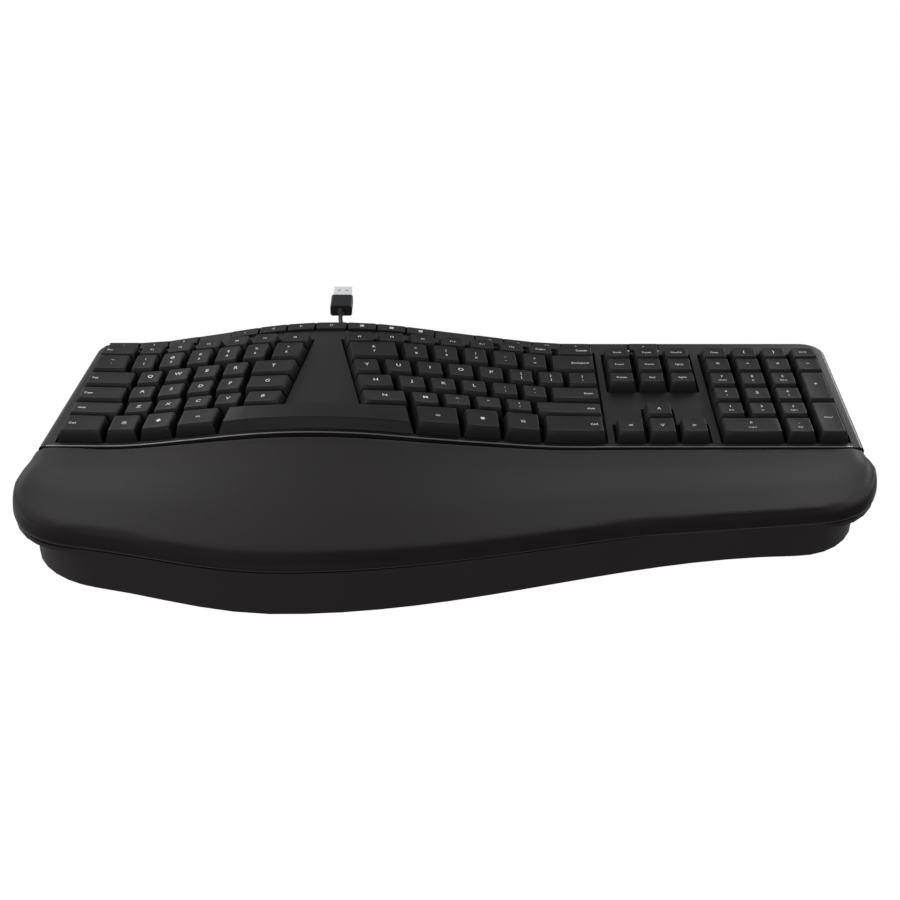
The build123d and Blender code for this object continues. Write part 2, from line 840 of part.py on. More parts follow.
tray_points = [(-beyond, 11.6), (palm_apex_x, 9.7), (80.0, 10.0), (beyond, 11.6)]


def tray_z(x, y, depth=0):
    # underside of the tray, or depth above it
    return blend_corners(x, tray_points, [0.001] * 2)[0] - tray_tilt * y + depth


def front_stations(side_inset, front_inset, inner=20, turn=7):
    # X stations along the palm rest's front, closer together round its corners
    half = half_width - side_inset
    left = [-(half - 36.5) - 36.5 * sin(radians(90 * i / turn)) for i in range(turn, -1, -1)]
    right = [half - 36.0 + 36.0 * sin(radians(90 * i / turn)) for i in range(turn + 1)]
    middle = [left[-1] + (right[0] - left[-1]) * i / inner for i in range(1, inner)]
    return left + middle + right


def palm_region(side_inset, front_inset, rear_inset):
    # plan of the palm rest, drawn in from each side
    stations = front_stations(side_inset, front_inset)
    points = [(x, rounded_front(x, side_inset, front_inset)) for x in stations]
    rear = [(x, palm_line(x) - rear_inset) for x in rim_stations]
    left, right = points[0][0], points[-1][0]
    rear = [(left, rear[0][1])] + rear + [(right, rear[-1][1])]
    with BuildSketch() as region:
        with BuildLine():
            Polyline(*points, *rear[::-1], close=True)
        make_face()
    return region.sketch


with BuildPart() as palm_rest_tray:
    with BuildSketch():
        add(palm_region(tray_inset, tray_inset, palm_gap + 0.2))
    extrude(amount=80)
    add(deck_prism([(x, z + tray_thick) for x, z in tray_points], thick=tray_thick, slope=tray_tilt),
        mode=Mode.INTERSECT)
    with BuildSketch(Plane.XY.offset(boss_top + post_gap)):
        octagon(post_r, tray_posts)
    posts = extrude(amount=60, mode=Mode.PRIVATE)
    add(posts & deck_prism([(x, z + tray_thick / 2) for x, z in tray_points], slope=tray_tilt))
    with BuildSketch(Plane.XY.offset(boss_top + post_gap)):
        octagon(post_bore_r, tray_posts)
    extrude(amount=post_hole_deep, mode=Mode.SUBTRACT)
palm_rest_tray.part.label = "palm_rest_tray"
export_step(palm_rest_tray.part, "parts/palm_rest_tray.step")
print("palm_rest_tray", len(palm_rest_tray.part.solids()))

# Height of the pad's shoulder across X
shoulder_points = [(-beyond, 33.5), (-150.0, 35.0), (-60.0, 35.2), (80.0, 30.3), (beyond, 27.5)]


def pad_section(x):
    # the pad cut across at x, from the rear of its underside round the nose to its rear edge
    front = rounded_front(x, 0, 0)
    rear = palm_line(max(-half_width, min(half_width, x))) - palm_gap
    low = [tray_z(x, rear, tray_thick), tray_z(x, front, tray_thick)]
    full = blend_corners(x, shoulder_points, [0.001] * 3)[0]
    past = max(0.0, abs(x) - (half_width - pad_roll)) / pad_roll
    keep = 0.35 + 0.65 * sqrt(max(0.0, 1 - past**2))
    high = low[1] + (full - low[1]) * keep
    top = deck_z(x, rear) - pad_drop
    top = low[0] + (top - low[0]) * keep
    deep = rear - front
    nose = (high - low[1]) * 0.5
    shoulder = min(pad_shoulder, deep * 0.3)
    outline = [
        (rear, low[0]),
        (front + 0.6, low[1]),
        (front, low[1] + nose * 0.7),
        (front + shoulder * 0.16, low[1] + nose * 1.35),
        (front + shoulder * 0.5, high - nose * 0.22),
        (front + shoulder, high),
    ]
    for share in (0.35, 0.7):
        y = front + shoulder + (deep - shoulder) * share
        ease = share * share * (3 - 2 * share)
        outline.append((y, high + (top - high) * (0.4 * share + 0.6 * ease)))
    outline.append((rear, top))
    return Face(Wire.make_polygon([Vector(x, y, z) for y, z in outline], close=True))


pad_stations = sorted(
    set([round(x, 3) for x in front_stations(pad_drop, 0, inner=3) + rim_stations if abs(x) < half_width])
    | {palm_apex_x, 80.0}
)
pad_stations = [x for i, x in enumerate(pad_stations) if i == 0 or x - pad_stations[i - 1] > 1.2]
with BuildPart() as palm_rest_pad:
    loft(sections=[pad_section(x) for x in pad_stations], ruled=True)
palm_rest_pad.part.label = "palm_rest_pad"
export_step(palm_rest_pad.part, "parts/palm_rest_pad.step")
print("palm_rest_pad", len(palm_rest_pad.part.solids()), round(palm_rest_pad.part.volume))


# Bottom case: a shallow pan under the keys and a plinth under the palm rest
board_x, board_y, board_z = -75.0, 66.0, 7.0
board_size = (66.0, 27.0, 1.6)
board_posts = [(board_x + i * 28, board_y + j * 9) for i in (-1, 1) for j in (-1, 1)]
all_posts = case_posts + tray_posts
exit_bore_clear = 0.1
rib_lines_y = [30.0, 106.0]
rib_lines_x = [-172.0, -112.0, -22.0, 60.0, 165.0]


def plinth_region(inset):
    points = [
        (x, rounded_front(x, plinth_side + inset, plinth_front + inset))
        for x in front_stations(plinth_side + inset, plinth_front + inset)
    ]
    with BuildSketch() as region:
        with BuildLine():
            Polyline(*points, (points[-1][0], 14.0), (points[0][0], 14.0), close=True)
        make_face()
    return region.sketch


def base_region(inset):
    # the pan and the plinth together
    with BuildSketch() as region:
        add(case_region(pan_inset + inset, 0.0))
        add(behind_rim(stack_front + inset), mode=Mode.INTERSECT)
        add(plinth_region(inset))
    return region.sketch


def stand_region(grow):
    # plan of a folded foot and its clearance, grown by a wall
    front = stand_hinge_y - (stand_long - stand_thick / 2) - stand_clear - grow
    rear = stand_hinge_y + stand_thick / 2 + stand_clear + grow
    with BuildSketch() as region:
        for x in (-stand_x, stand_x):
            with Locations((x, (front + rear) / 2)):
                Rectangle(stand_wide + 2 * (stand_clear + grow), rear - front)
            with Locations((x, front - stand_notch / 2)):
                Rectangle(stand_wide / 2 + 2 * grow, stand_notch)
    return region.sketch


stand_axis_z = stand_base_z + stand_thick / 2
pocket_z = stand_base_z + stand_thick + stand_clear

with BuildPart() as bottom_case:
    with BuildSketch(Plane.XY.offset(floor_z)):
        add(base_region(0))
    extrude(amount=floor_thick)
    with BuildSketch(Plane.XY.offset(floor_z + floor_thick)):
        add(base_region(0))
        add(base_region(pan_wall), mode=Mode.SUBTRACT)
    extrude(amount=pan_rim_z - floor_z - floor_thick)
    with BuildSketch(Plane.XY.offset(floor_z + floor_thick)) as walls:
        add(plinth_region(0))
        add(plinth_region(plinth_wall), mode=Mode.SUBTRACT)
        add(behind_rim(-palm_gap - 0.4), mode=Mode.SUBTRACT)
    plinth = extrude(amount=60, mode=Mode.PRIVATE)
    add(plinth & deck_prism(tray_points, slope=tray_tilt))
    with BuildSketch(Plane.XY.offset(floor_z + floor_thick)):
        octagon(boss_r, all_posts)
    extrude(amount=boss_top - floor_z - floor_thick)
    with BuildSketch(Plane.XY.offset(floor_z + floor_thick)):
        octagon(board_size[2] + 0.8, board_posts)
    extrude(amount=board_z - floor_z - floor_thick)
    with BuildSketch(Plane.XY.offset(floor_z + floor_thick)):
        for y in rib_lines_y:
            with Locations(((left_rear_x + half_width) / 2, y)):
                Rectangle(half_width - left_rear_x - 2 * (stack_inset + 4), rib_thick)
        for x in rib_lines_x:
            with Locations((x, (rib_lines_y[0] + rib_lines_y[1]) / 2)):
                Rectangle(rib_thick, rib_lines_y[1] - rib_lines_y[0] + 20)
    ribs = extrude(amount=60, mode=Mode.PRIVATE)
    add(ribs & deck_prism(deck_line(backing_low + rib_clear, True)))
    with BuildSketch(Plane.XY.offset(floor_z)):
        add(stand_region(stand_wall))
    extrude(amount=pocket_z + stand_roof - floor_z)
    with BuildSketch(Plane.XY.offset(floor_z)):
        add(stand_region(0))
    extrude(amount=pocket_z - floor_z, mode=Mode.SUBTRACT)
    for x in (-stand_x, stand_x):
        with BuildSketch(Plane.YZ.offset(x - stand_wide / 2 - stand_clear - stand_wall)):
            with Locations((stand_hinge_y, stand_axis_z)):
                Circle(stand_pin_r + stand_bore_clear)
        extrude(amount=stand_wide + 2 * (stand_clear + stand_wall), mode=Mode.SUBTRACT)
    with BuildSketch(Plane.XY.offset(floor_z)):
        octagon(screw_head_r + 0.3, all_posts)
    extrude(amount=screw_head_high + 0.2, mode=Mode.SUBTRACT)
    with BuildSketch(Plane.XY.offset(floor_z)):
        octagon(screw_r + 0.25, all_posts)
    extrude(amount=boss_top, mode=Mode.SUBTRACT)
    with BuildSketch(Plane.XY.offset(floor_z)):
        with Locations(*foot_spots):
            RegularPolygon(foot_r + foot_clear, 16)
    extrude(amount=foot_thick - floor_z, mode=Mode.SUBTRACT)
    with BuildSketch(Plane.XZ.offset(-rear_y)):
        with Locations((exit_x, exit_z)):
            Circle(relief_r + exit_bore_clear)
    extrude(amount=pan_inset + pan_wall + 1, mode=Mode.SUBTRACT)
bottom_case.part.label = "bottom_case"
export_step(bottom_case.part, "parts/bottom_case.step")
print("bottom_case", len(bottom_case.part.solids()), round(bottom_case.part.volume))

with BuildPart() as case_screws:
    with BuildSketch(Plane.XY.offset(floor_z + 0.2)):
        with Locations(*all_posts):
            RegularPolygon(screw_head_r, 8)
    extrude(amount=screw_head_high)
    with BuildSketch(Plane.XY.offset(floor_z + 0.2 + screw_head_high)):
        with Locations(*all_posts):
            RegularPolygon(screw_r, 6)
    extrude(amount=boss_top + post_gap + post_hole_deep - 0.4 - floor_z - 0.2 - screw_head_high)
    with BuildSketch(Plane.XY.offset(floor_z + 0.2)):
        with Locations(*all_posts):
            Rectangle(1.6, 1.6)
    extrude(amount=0.8, mode=Mode.SUBTRACT)
case_screws.part.label = "case_screws"
export_step(case_screws.part, "parts/case_screws.step")

with BuildPart() as rubber_feet:
    with BuildSketch():
        with Locations(*foot_spots):
            RegularPolygon(foot_r, 16)
    extrude(amount=foot_thick)
rubber_feet.part.label = "rubber_feet"
export_step(rubber_feet.part, "parts/rubber_feet.step")

for side, name in ((-1, "tilt_foot_left"), (1, "tilt_foot_right")):
    with BuildPart() as tilt_foot:
        with BuildSketch(Plane.YZ.offset(side * stand_x - stand_wide / 2)):
            with Locations((stand_hinge_y, stand_axis_z)):
                Circle(stand_thick / 2)
            with Locations((stand_hinge_y - (stand_long - stand_thick / 2) / 2, stand_axis_z)):
                Rectangle(stand_long - stand_thick / 2, stand_thick)
        extrude(amount=stand_wide)
        tip = tilt_foot.edges().filter_by(Axis.X).group_by(Axis.Y)[0]
        chamfer(tip, 0.8)
        with BuildSketch(Plane.YZ.offset(side * stand_x)):
            with Locations((stand_hinge_y, stand_axis_z)):
                Circle(stand_pin_r)
        extrude(amount=stand_wide / 2 + stand_pin_long, both=True)
    tilt_foot.part.label = name
    export_step(tilt_foot.part, f"parts/{name}.step")

with BuildPart() as controller_board:
    with Locations((board_x, board_y, board_z + board_size[2] / 2)):
        Box(*board_size)
    with Locations((board_x - 12, board_y, board_z + board_size[2] + 0.6)):
        Box(10, 10, 1.2)
    with Locations((board_x + 16, board_y + 4, board_z + board_size[2] + 2.0)):
        Box(14, 5, 4.0)
    with Locations((board_x + 16, board_y - 7, board_z + board_size[2] + 0.5)):
        Box(5, 3.2, 1.0)
controller_board.part.label = "controller_board"
export_step(controller_board.part, "parts/controller_board.step")

# Cable: strain relief, lead, hank with its tie, and a plug on a short lead
wall_in_y = rear_y - pan_inset - pan_wall
with BuildPart() as cable_strain_relief:
    with BuildSketch(Plane.XZ.offset(-relief_end_y)):
        with Locations((exit_x, exit_z)):
            Circle(cord_d / 2 + 0.35)
    with BuildSketch(Plane.XZ.offset(-rear_y + pan_inset)):
        with Locations((exit_x, exit_z)):
            Circle(relief_r)
    loft()
    with BuildSketch(Plane.XZ.offset(-rear_y + pan_inset)):
        with Locations((exit_x, exit_z)):
            Circle(relief_r)
    extrude(amount=pan_wall)
    with BuildSketch(Plane.XZ.offset(-wall_in_y)):
        with Locations((exit_x, exit_z)):
            Rectangle(2 * relief_r + 2.0, 2 * relief_r - 1.2)
    extrude(amount=relief_flange)
cable_strain_relief.part.label = "cable_strain_relief"
export_step(cable_strain_relief.part, "parts/cable_strain_relief.step")


def biarc(start, start_dir, end, end_dir):
    # two tangent arcs between two points
    v, t = end - start, start_dir + end_dir
    a, b, c = 2 * (1 - start_dir.dot(end_dir)), 2 * v.dot(t), -v.dot(v)
    d = -c / b if abs(a) < 1e-9 else (-b + sqrt(b * b - 4 * a * c)) / (2 * a)
    first, second = start + start_dir * d, end - end_dir * d
    joint = (first + second) * 0.5
    middle_dir = (second - first).normalized()
    return [
        TangentArc(start, joint, tangent=start_dir, mode=Mode.PRIVATE),
        TangentArc(joint, end, tangent=middle_dir, mode=Mode.PRIVATE),
    ]


hank_top_z = hank_z + hank_layer
floor_lines = []
for i in range(hank_pairs):
    floor_lines += [hank_far - hank_step * i, hank_near + hank_step * i]
climb = len(floor_lines) - 1
top_far = floor_lines[-1] + 6 * cord_d       # the tightest fold has three diameters' radius
top_lines = []
for i in range(hank_pairs - 2):
    top_lines += [top_far + hank_step * i, floor_lines[-1] - hank_step * (i + 1)]
top_lines.append(top_far + hank_step * (hank_pairs - 2))
lines = floor_lines + top_lines


def hank_edges():
    # runs wind inwards on the floor, climb along the last one, and wind outwards on top
    edges = []
    previous = None
    for i, y in enumerate(lines):
        side = 1 if i % 2 == 0 else -1
        heading = Vector(-side, 0, 0)
        low = hank_z if i <= climb else hank_top_z
        high = hank_top_z if i >= climb else hank_z
        start = Vector(hank_x + side * (hank_start if i == 0 else hank_half), y, low)
        end = Vector(hank_x - side * hank_half, y, high)
        if previous is not None:
            edges += biarc(previous, previous_heading, start, heading)
        if i == len(lines) - 1:
            edges.append(Line(start, Vector(hank_x + side * hank_end, y, low), mode=Mode.PRIVATE))
            break
        waist = Vector(hank_x, y - side * hank_waist, (low + high) / 2)
        through = Vector(end.X - start.X, 0, 1.6 * (high - low)).normalized()
        edges += biarc(start, heading, waist, through)
        edges += biarc(waist, through, end, heading)
        previous, previous_heading = end, heading
    return edges


def joined(edges):
    with BuildLine() as route:
        for edge in edges:
            add(edge)
    return route.wires()[0]


def tube_ring(at, ahead):
    # the cable's many-sided section square to the route
    across = ahead.cross(Vector(0, 0, 1)).normalized()
    up = across.cross(ahead)
    turns = [2 * pi * (i + 0.5) / cord_sides for i in range(cord_sides)]
    return [at + (across * cos(turn) + up * sin(turn)) * (cord_d / 2) for turn in turns]


def finish_tube(tube, wire, name):
    tube.label = name
    export_step(tube, f"parts/{name}.step")
    print(name, "length", round(wire.length, 1), "solids", len(tube.solids()))
    return wire


def wound(edges, name):
    # a tube with flat sides between rings, for the tight turns
    rings = [tube_ring(edges[0] @ 0, edges[0] % 0)]
    for edge in edges:
        turn = radians((edge % 0).get_angle(edge % 1))
        steps = max(1, ceil(turn / turn_step))
        for i in range(1, steps + 1):
            rings.append(tube_ring(edge @ (i / steps), edge % (i / steps)))
    with BuildPart() as tube:
        add(flat_sided(rings))
    return finish_tube(tube.part, joined(edges), name)


def swept(edges, name, end_y=None):
    # a tube along the route, cut square at end_y
    wire = joined(edges)
    with BuildPart() as tube:
        with BuildLine():
            add(wire)
        with BuildSketch(Plane(origin=wire @ 0, z_dir=wire % 0)):
            RegularPolygon(cord_d / 2, cord_sides)
        sweep(path=wire)
        if end_y is not None:
            split(bisect_by=Plane.XZ.offset(-end_y), keep=Keep.TOP)
    return finish_tube(tube.part, wire, name)


hank_path = wound(hank_edges(), "cable_hank")


def free_route(points):
    # straight runs with tangent arcs between them, and the arcs' radii
    points = [Vector(*p) for p in points]
    radii = []
    for a, b, c in zip(points[:-2], points[1:-1], points[2:]):
        into, out = b - a, c - b
        half_turn = radians(into.get_angle(out)) / 2
        reach = min(0.45 * min(into.length, out.length), 60 * tan(half_turn))
        radii.append(reach / tan(half_turn))
    print("bend radii", [round(r, 1) for r in radii])
    return FilletPolyline(*points, radius=radii, mode=Mode.PRIVATE).edges()


lead_points = [
    (exit_x, relief_end_y, exit_z),
    (exit_x, relief_end_y + 12.0, exit_z),
    (-30.2, 157.9, hank_z),
    (-39.2, hank_far, hank_z),
    (hank_x + hank_start, hank_far, hank_z),
]
lead_path = swept(free_route(lead_points), "cable_lead")

plug_lead_y = plug_y - plug_relief_long
last_y = lines[-1]
plug_bend_r = 2.2 * cord_d
plug_fall = (hank_top_z - plug_z) / (plug_lead_y - last_y)
cut_off = 0.6              # run past the plug's strain relief and cut square to meet it
plug_lead_points = [
    (hank_x + hank_end, last_y, hank_top_z),
    (plug_x, last_y, hank_top_z),
    (plug_x, plug_lead_y + cut_off, plug_z - plug_fall * cut_off),
]
plug_route = FilletPolyline(*plug_lead_points, radius=plug_bend_r, mode=Mode.PRIVATE).edges()
print("bend radius", plug_bend_r)
plug_lead_path = swept(plug_route, "plug_lead", end_y=plug_lead_y)
total = hank_path.length + lead_path.length + plug_lead_path.length - cut_off
print("cable length", round(total, 1), "radius", cord_d / 2)


def least_gap(paths, apart):
    # least distance between the tube's surface and itself, along points one millimetre apart
    points = []
    run = 0.0
    for path in paths:
        count = int(path.length)
        for i in range(count + 1):
            p = path @ (i / count)
            points.append((run + path.length * i / count, p.X, p.Y, p.Z))
        run += path.length
    least = 1e9
    for i, (s, x, y, z) in enumerate(points):
        for t, u, v, w in points[i + 1:]:
            if t - s > apart and abs(u - x) < least and abs(v - y) < least:
                least = min(least, sqrt((u - x) ** 2 + (v - y) ** 2 + (w - z) ** 2))
    return least - cord_d


print("self-gap", round(least_gap([lead_path, hank_path, plug_lead_path], 4 * cord_d), 3))

# The tie goes round both layers at their waist
tie_gap = 0.15
tie_clear = cord_d / 2 + tie_gap
tie_outline = [
    (hank_near + hank_waist - tie_clear, hank_z - tie_clear),
    (hank_far - hank_waist + tie_clear, hank_z - tie_clear),
    (hank_far - hank_waist + tie_clear, hank_z + tie_clear),
    (top_lines[-1] - hank_waist + tie_clear, hank_top_z + tie_clear),
    (top_lines[-2] + hank_waist - tie_clear, hank_top_z + tie_clear),
    (hank_near + hank_waist - tie_clear, hank_z + tie_clear),
]
with BuildPart() as hank_tie:
    with BuildSketch(Plane.YZ.offset(hank_x - tie_wide / 2)):
        with BuildLine():
            Polyline(*tie_outline, close=True)
        make_face()
        offset(amount=tie_thick, kind=Kind.INTERSECTION)
        with BuildLine():
            Polyline(*tie_outline, close=True)
        make_face(mode=Mode.SUBTRACT)
    extrude(amount=tie_wide)
hank_tie.part.label = "hank_tie"
export_step(hank_tie.part, "parts/hank_tie.step")

with BuildPart() as plug_strain_relief:
    with BuildSketch(Plane.XZ.offset(-plug_lead_y)):
        with Locations((plug_x, plug_z)):
            Circle(cord_d / 2 + 0.35)
    with BuildSketch(Plane.XZ.offset(-plug_y)):
        with Locations((plug_x, plug_z)):
            Circle(cord_d / 2 + 1.35)
    loft()
plug_strain_relief.part.label = "plug_strain_relief"
export_step(plug_strain_relief.part, "parts/plug_strain_relief.step")

with BuildPart() as plug_body:
    with BuildSketch(Plane.XZ.offset(-plug_y)):
        with Locations((plug_x, plug_z)):
            RectangleRounded(plug_body_size[0], plug_body_size[2], 1.6)
    extrude(amount=-plug_body_size[1])
    chamfer(plug_body.edges().group_by(Axis.Y)[0], 0.6)
plug_body.part.label = "plug_body"
export_step(plug_body.part, "parts/plug_body.step")

plug_end = plug_y + plug_body_size[1]
with BuildPart() as plug_shell:
    with BuildSketch(Plane.XZ.offset(-plug_end)):
        with Locations((plug_x, plug_z)):
            Rectangle(plug_shell_size[0], plug_shell_size[2])
            Rectangle(
                plug_shell_size[0] - 2 * plug_shell_wall,
                plug_shell_size[2] - 2 * plug_shell_wall,
                mode=Mode.SUBTRACT,
            )
    extrude(amount=-plug_shell_size[1])
    with BuildSketch(Plane.XZ.offset(-plug_end)):
        with Locations((plug_x, plug_z - plug_shell_size[2] / 2 + plug_shell_wall + 0.9)):
            Rectangle(plug_shell_size[0] - 2 * plug_shell_wall, 1.8)
    extrude(amount=-plug_shell_size[1] + 1.0)
    with BuildSketch(Plane.XY.offset(plug_z + plug_shell_size[2] / 2)):
        with Locations((plug_x - 2.6, plug_end + 8.5), (plug_x + 2.6, plug_end + 8.5)):
            Rectangle(2.2, 2.2)
    extrude(amount=-plug_shell_wall, mode=Mode.SUBTRACT)
plug_shell.part.label = "plug_shell"
export_step(plug_shell.part, "parts/plug_shell.step")
print("nodes", len(os.listdir("parts")))
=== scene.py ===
import json
from math import atan2, cos, hypot, pi, radians, sin

import bmesh
import bpy
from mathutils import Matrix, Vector
from mathutils.bvhtree import BVHTree

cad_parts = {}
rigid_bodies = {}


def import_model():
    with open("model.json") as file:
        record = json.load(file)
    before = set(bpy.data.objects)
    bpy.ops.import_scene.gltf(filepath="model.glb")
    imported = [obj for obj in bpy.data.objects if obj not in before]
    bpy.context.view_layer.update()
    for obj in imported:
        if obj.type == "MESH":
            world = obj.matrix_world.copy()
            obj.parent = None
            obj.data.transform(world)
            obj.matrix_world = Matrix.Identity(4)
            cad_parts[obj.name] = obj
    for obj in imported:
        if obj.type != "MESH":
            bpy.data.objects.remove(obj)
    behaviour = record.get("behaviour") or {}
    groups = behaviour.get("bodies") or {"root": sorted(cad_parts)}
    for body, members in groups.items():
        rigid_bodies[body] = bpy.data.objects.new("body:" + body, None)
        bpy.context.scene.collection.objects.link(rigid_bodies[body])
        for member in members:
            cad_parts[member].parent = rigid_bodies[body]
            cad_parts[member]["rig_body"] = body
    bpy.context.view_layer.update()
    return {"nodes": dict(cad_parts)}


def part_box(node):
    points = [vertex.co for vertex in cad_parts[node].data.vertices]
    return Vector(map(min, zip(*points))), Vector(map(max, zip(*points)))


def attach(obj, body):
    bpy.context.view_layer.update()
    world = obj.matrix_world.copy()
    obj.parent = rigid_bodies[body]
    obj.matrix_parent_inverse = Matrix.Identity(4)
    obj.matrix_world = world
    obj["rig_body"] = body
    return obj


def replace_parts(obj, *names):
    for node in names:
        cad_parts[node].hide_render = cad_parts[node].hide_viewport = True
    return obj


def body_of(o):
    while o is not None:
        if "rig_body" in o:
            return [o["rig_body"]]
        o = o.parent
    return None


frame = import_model()
scene = bpy.context.scene
mm = 0.001


def sRgb(text):
    # an sRGB hex value as the linear colour that Blender's sockets take
    parts = [int(text[i:i + 2], 16) / 255 for i in (1, 3, 5)]
    return tuple(v / 12.92 if v <= 0.04045 else ((v + 0.055) / 1.055) ** 2.4 for v in parts) + (1.0,)


def addNode(tree, kind, settings=None, links=None):
    # settings with a leading dot are the node's own, the rest are its sockets' values
    node = tree.nodes.new(kind)
    for name, value in (settings or {}).items():
        if isinstance(name, str) and name.startswith("."):
            setattr(node, name[1:], value)
        else:
            node.inputs[name].default_value = value
    for name, source in (links or {}).items():
        tree.links.new(source, node.inputs[name])
    return node


def newMaterial(name):
    material = bpy.data.materials.new(name)
    material.use_nodes = True
    tree = material.node_tree
    tree.nodes.clear()
    return material, tree


def tintAndGloss(tree, look, shade, polish):
    # a colour between the dark and the light one, and a roughness between its two ends
    tint = addNode(tree, "ShaderNodeMix",
                   {".data_type": "RGBA", 6: sRgb(look["dark"]), 7: sRgb(look["light"])}, {0: shade})
    gloss = addNode(tree, "ShaderNodeMapRange",
                    {"To Min": look["roughness"][0], "To Max": look["roughness"][1]}, {"Value": polish})
    return tint.outputs[2], gloss.outputs["Result"]


mattMirror = 0.05  # how strongly a matt moulding mirrors the white room, well under a plain plastic's 0.5


def mouldedPlastic(look):
    # an eroded tool leaves a fine even grain, which breaks reflections into a soft sheen
    material, tree = newMaterial(look["name"])
    place = addNode(tree, "ShaderNodeTexCoord").outputs["Object"]
    grain = addNode(tree, "ShaderNodeTexNoise",
                    {"Scale": 1 / (look["grain"] * mm), "Detail": 3.0, "Roughness": 0.6}, {"Vector": place})
    cloud = addNode(tree, "ShaderNodeTexNoise",
                    {"Scale": 1 / (look["cloud"] * mm), "Detail": 2.0}, {"Vector": place})
    tint, gloss = tintAndGloss(tree, look, cloud.outputs["Fac"], grain.outputs["Fac"])
    relief = addNode(tree, "ShaderNodeBump", {"Strength": look["bump"], "Distance": look["depth"] * mm},
                     {"Height": grain.outputs["Fac"]})
    shader = addNode(tree, "ShaderNodeBsdfPrincipled",
                     {"IOR": look["ior"], "Specular IOR Level": look.get("mirror", mattMirror)},
                     {"Base Color": tint, "Roughness": gloss, "Normal": relief.outputs["Normal"]})
    addNode(tree, "ShaderNodeOutputMaterial", links={"Surface": shader.outputs["BSDF"]})
    return material


def grainedLeatherette(look):
    # embossed polyurethane over foam: pebbles a millimetre across with soft valleys between
    material, tree = newMaterial(look["name"])
    place = addNode(tree, "ShaderNodeTexCoord").outputs["Object"]
    bend = addNode(tree, "ShaderNodeTexNoise",
                   {"Scale": 1 / (look["pebble"] * 4 * mm), "Detail": 2.0}, {"Vector": place})
    offset = addNode(tree, "ShaderNodeVectorMath", {".operation": "SCALE", "Scale": look["pebble"] * mm},
                     {0: bend.outputs["Color"]})
    moved = addNode(tree, "ShaderNodeVectorMath", {".operation": "ADD"},
                    {0: place, 1: offset.outputs["Vector"]})
    cells = addNode(tree, "ShaderNodeTexVoronoi",
                    {".feature": "SMOOTH_F1", "Scale": 1 / (look["pebble"] * mm), "Smoothness": 0.6},
                    {"Vector": moved.outputs["Vector"]})
    cloud = addNode(tree, "ShaderNodeTexNoise",
                    {"Scale": 1 / (look["cloud"] * mm), "Detail": 3.0}, {"Vector": place})
    tint, gloss = tintAndGloss(tree, look, cloud.outputs["Fac"], cells.outputs["Distance"])
    relief = addNode(tree, "ShaderNodeBump",
                     {"Strength": look["bump"], "Distance": look["depth"] * mm, ".invert": True},
                     {"Height": cells.outputs["Distance"]})
    shader = addNode(tree, "ShaderNodeBsdfPrincipled",
                     {"IOR": look["ior"], "Specular IOR Level": look["mirror"], "Sheen Weight": look["sheen"],
                      "Sheen Roughness": look["sheenRoughness"]},
                     {"Base Color": tint, "Roughness": gloss, "Normal": relief.outputs["Normal"]})
    addNode(tree, "ShaderNodeOutputMaterial", links={"Surface": shader.outputs["BSDF"]})
    return material


def platedSteel(look):
    # drawn or rolled sheet: fine lines along one axis under a bright plating
    material, tree = newMaterial(look["name"])
    place = addNode(tree, "ShaderNodeTexCoord").outputs["Object"]
    stretch = addNode(tree, "ShaderNodeMapping", {"Scale": look["stretch"]}, {"Vector": place})
    lines = addNode(tree, "ShaderNodeTexNoise", {"Scale": 1 / (look["line"] * mm), "Detail": 2.0},
                    {"Vector": stretch.outputs["Vector"]})
    tint, gloss = tintAndGloss(tree, look, lines.outputs["Fac"], lines.outputs["Fac"])
    shader = addNode(tree, "ShaderNodeBsdfPrincipled", {"Metallic": 1.0},
                     {"Base Color": tint, "Roughness": gloss})
    addNode(tree, "ShaderNodeOutputMaterial", links={"Surface": shader.outputs["BSDF"]})
    return material


# Moulded ABS with a fine spark-eroded grain: dark grey that goes light where a lamp grazes it
deckAbs = mouldedPlastic({
    "name": "Moulded ABS, satin grain", "dark": "#101011", "light": "#151516", "grain": 0.45, "cloud": 40,
    "roughness": (0.34, 0.46), "bump": 0.10, "depth": 0.03, "ior": 1.54,
})
# The same ABS off a coarser tool, for the base and the feet: a warm near-black with little shine
baseAbs = mouldedPlastic({
    "name": "Moulded ABS, matt grain", "dark": "#191617", "light": "#1f1c1d", "grain": 0.7, "cloud": 50,
    "roughness": (0.46, 0.6), "bump": 0.16, "depth": 0.05, "ior": 1.54,
})
# The lip is smoother than the deck, and its colour is a light grey that is a painted highlight: it stands in
# for the light line the rim catches
lipHighlightAbs = mouldedPlastic({
    "name": "Moulded ABS lip, painted highlight", "dark": "#4a494a", "light": "#555455", "grain": 0.5, "cloud": 60,
    "roughness": (0.24, 0.34), "bump": 0.04, "depth": 0.02, "ior": 1.54, "mirror": 0.3,
})
# Keycaps wear a thin matt paint: even, slightly lighter on top where light falls along it
capAbs = mouldedPlastic({
    "name": "Moulded ABS, matt painted caps", "dark": "#1a1a1a", "light": "#1f1f20",
    "grain": 0.3, "cloud": 25, "roughness": (0.36, 0.5), "bump": 0.08, "depth": 0.02,
    "ior": 1.5, "mirror": 0.038,
})
# Unpainted ABS out of sight: flat and dull
innerAbs = mouldedPlastic({
    "name": "Moulded ABS, plain inner frame", "dark": "#141414", "light": "#1a1a1a",
    "grain": 0.8, "cloud": 30, "roughness": (0.5, 0.62), "bump": 0.1, "depth": 0.04, "ior": 1.54,
})
# Silicone takes dust and light softly
siliconeRubber = mouldedPlastic({
    "name": "Moulded silicone rubber", "dark": "#242424", "light": "#2e2e2e", "grain": 0.6, "cloud": 12,
    "roughness": (0.62, 0.75), "bump": 0.12, "depth": 0.04, "ior": 1.41,
})
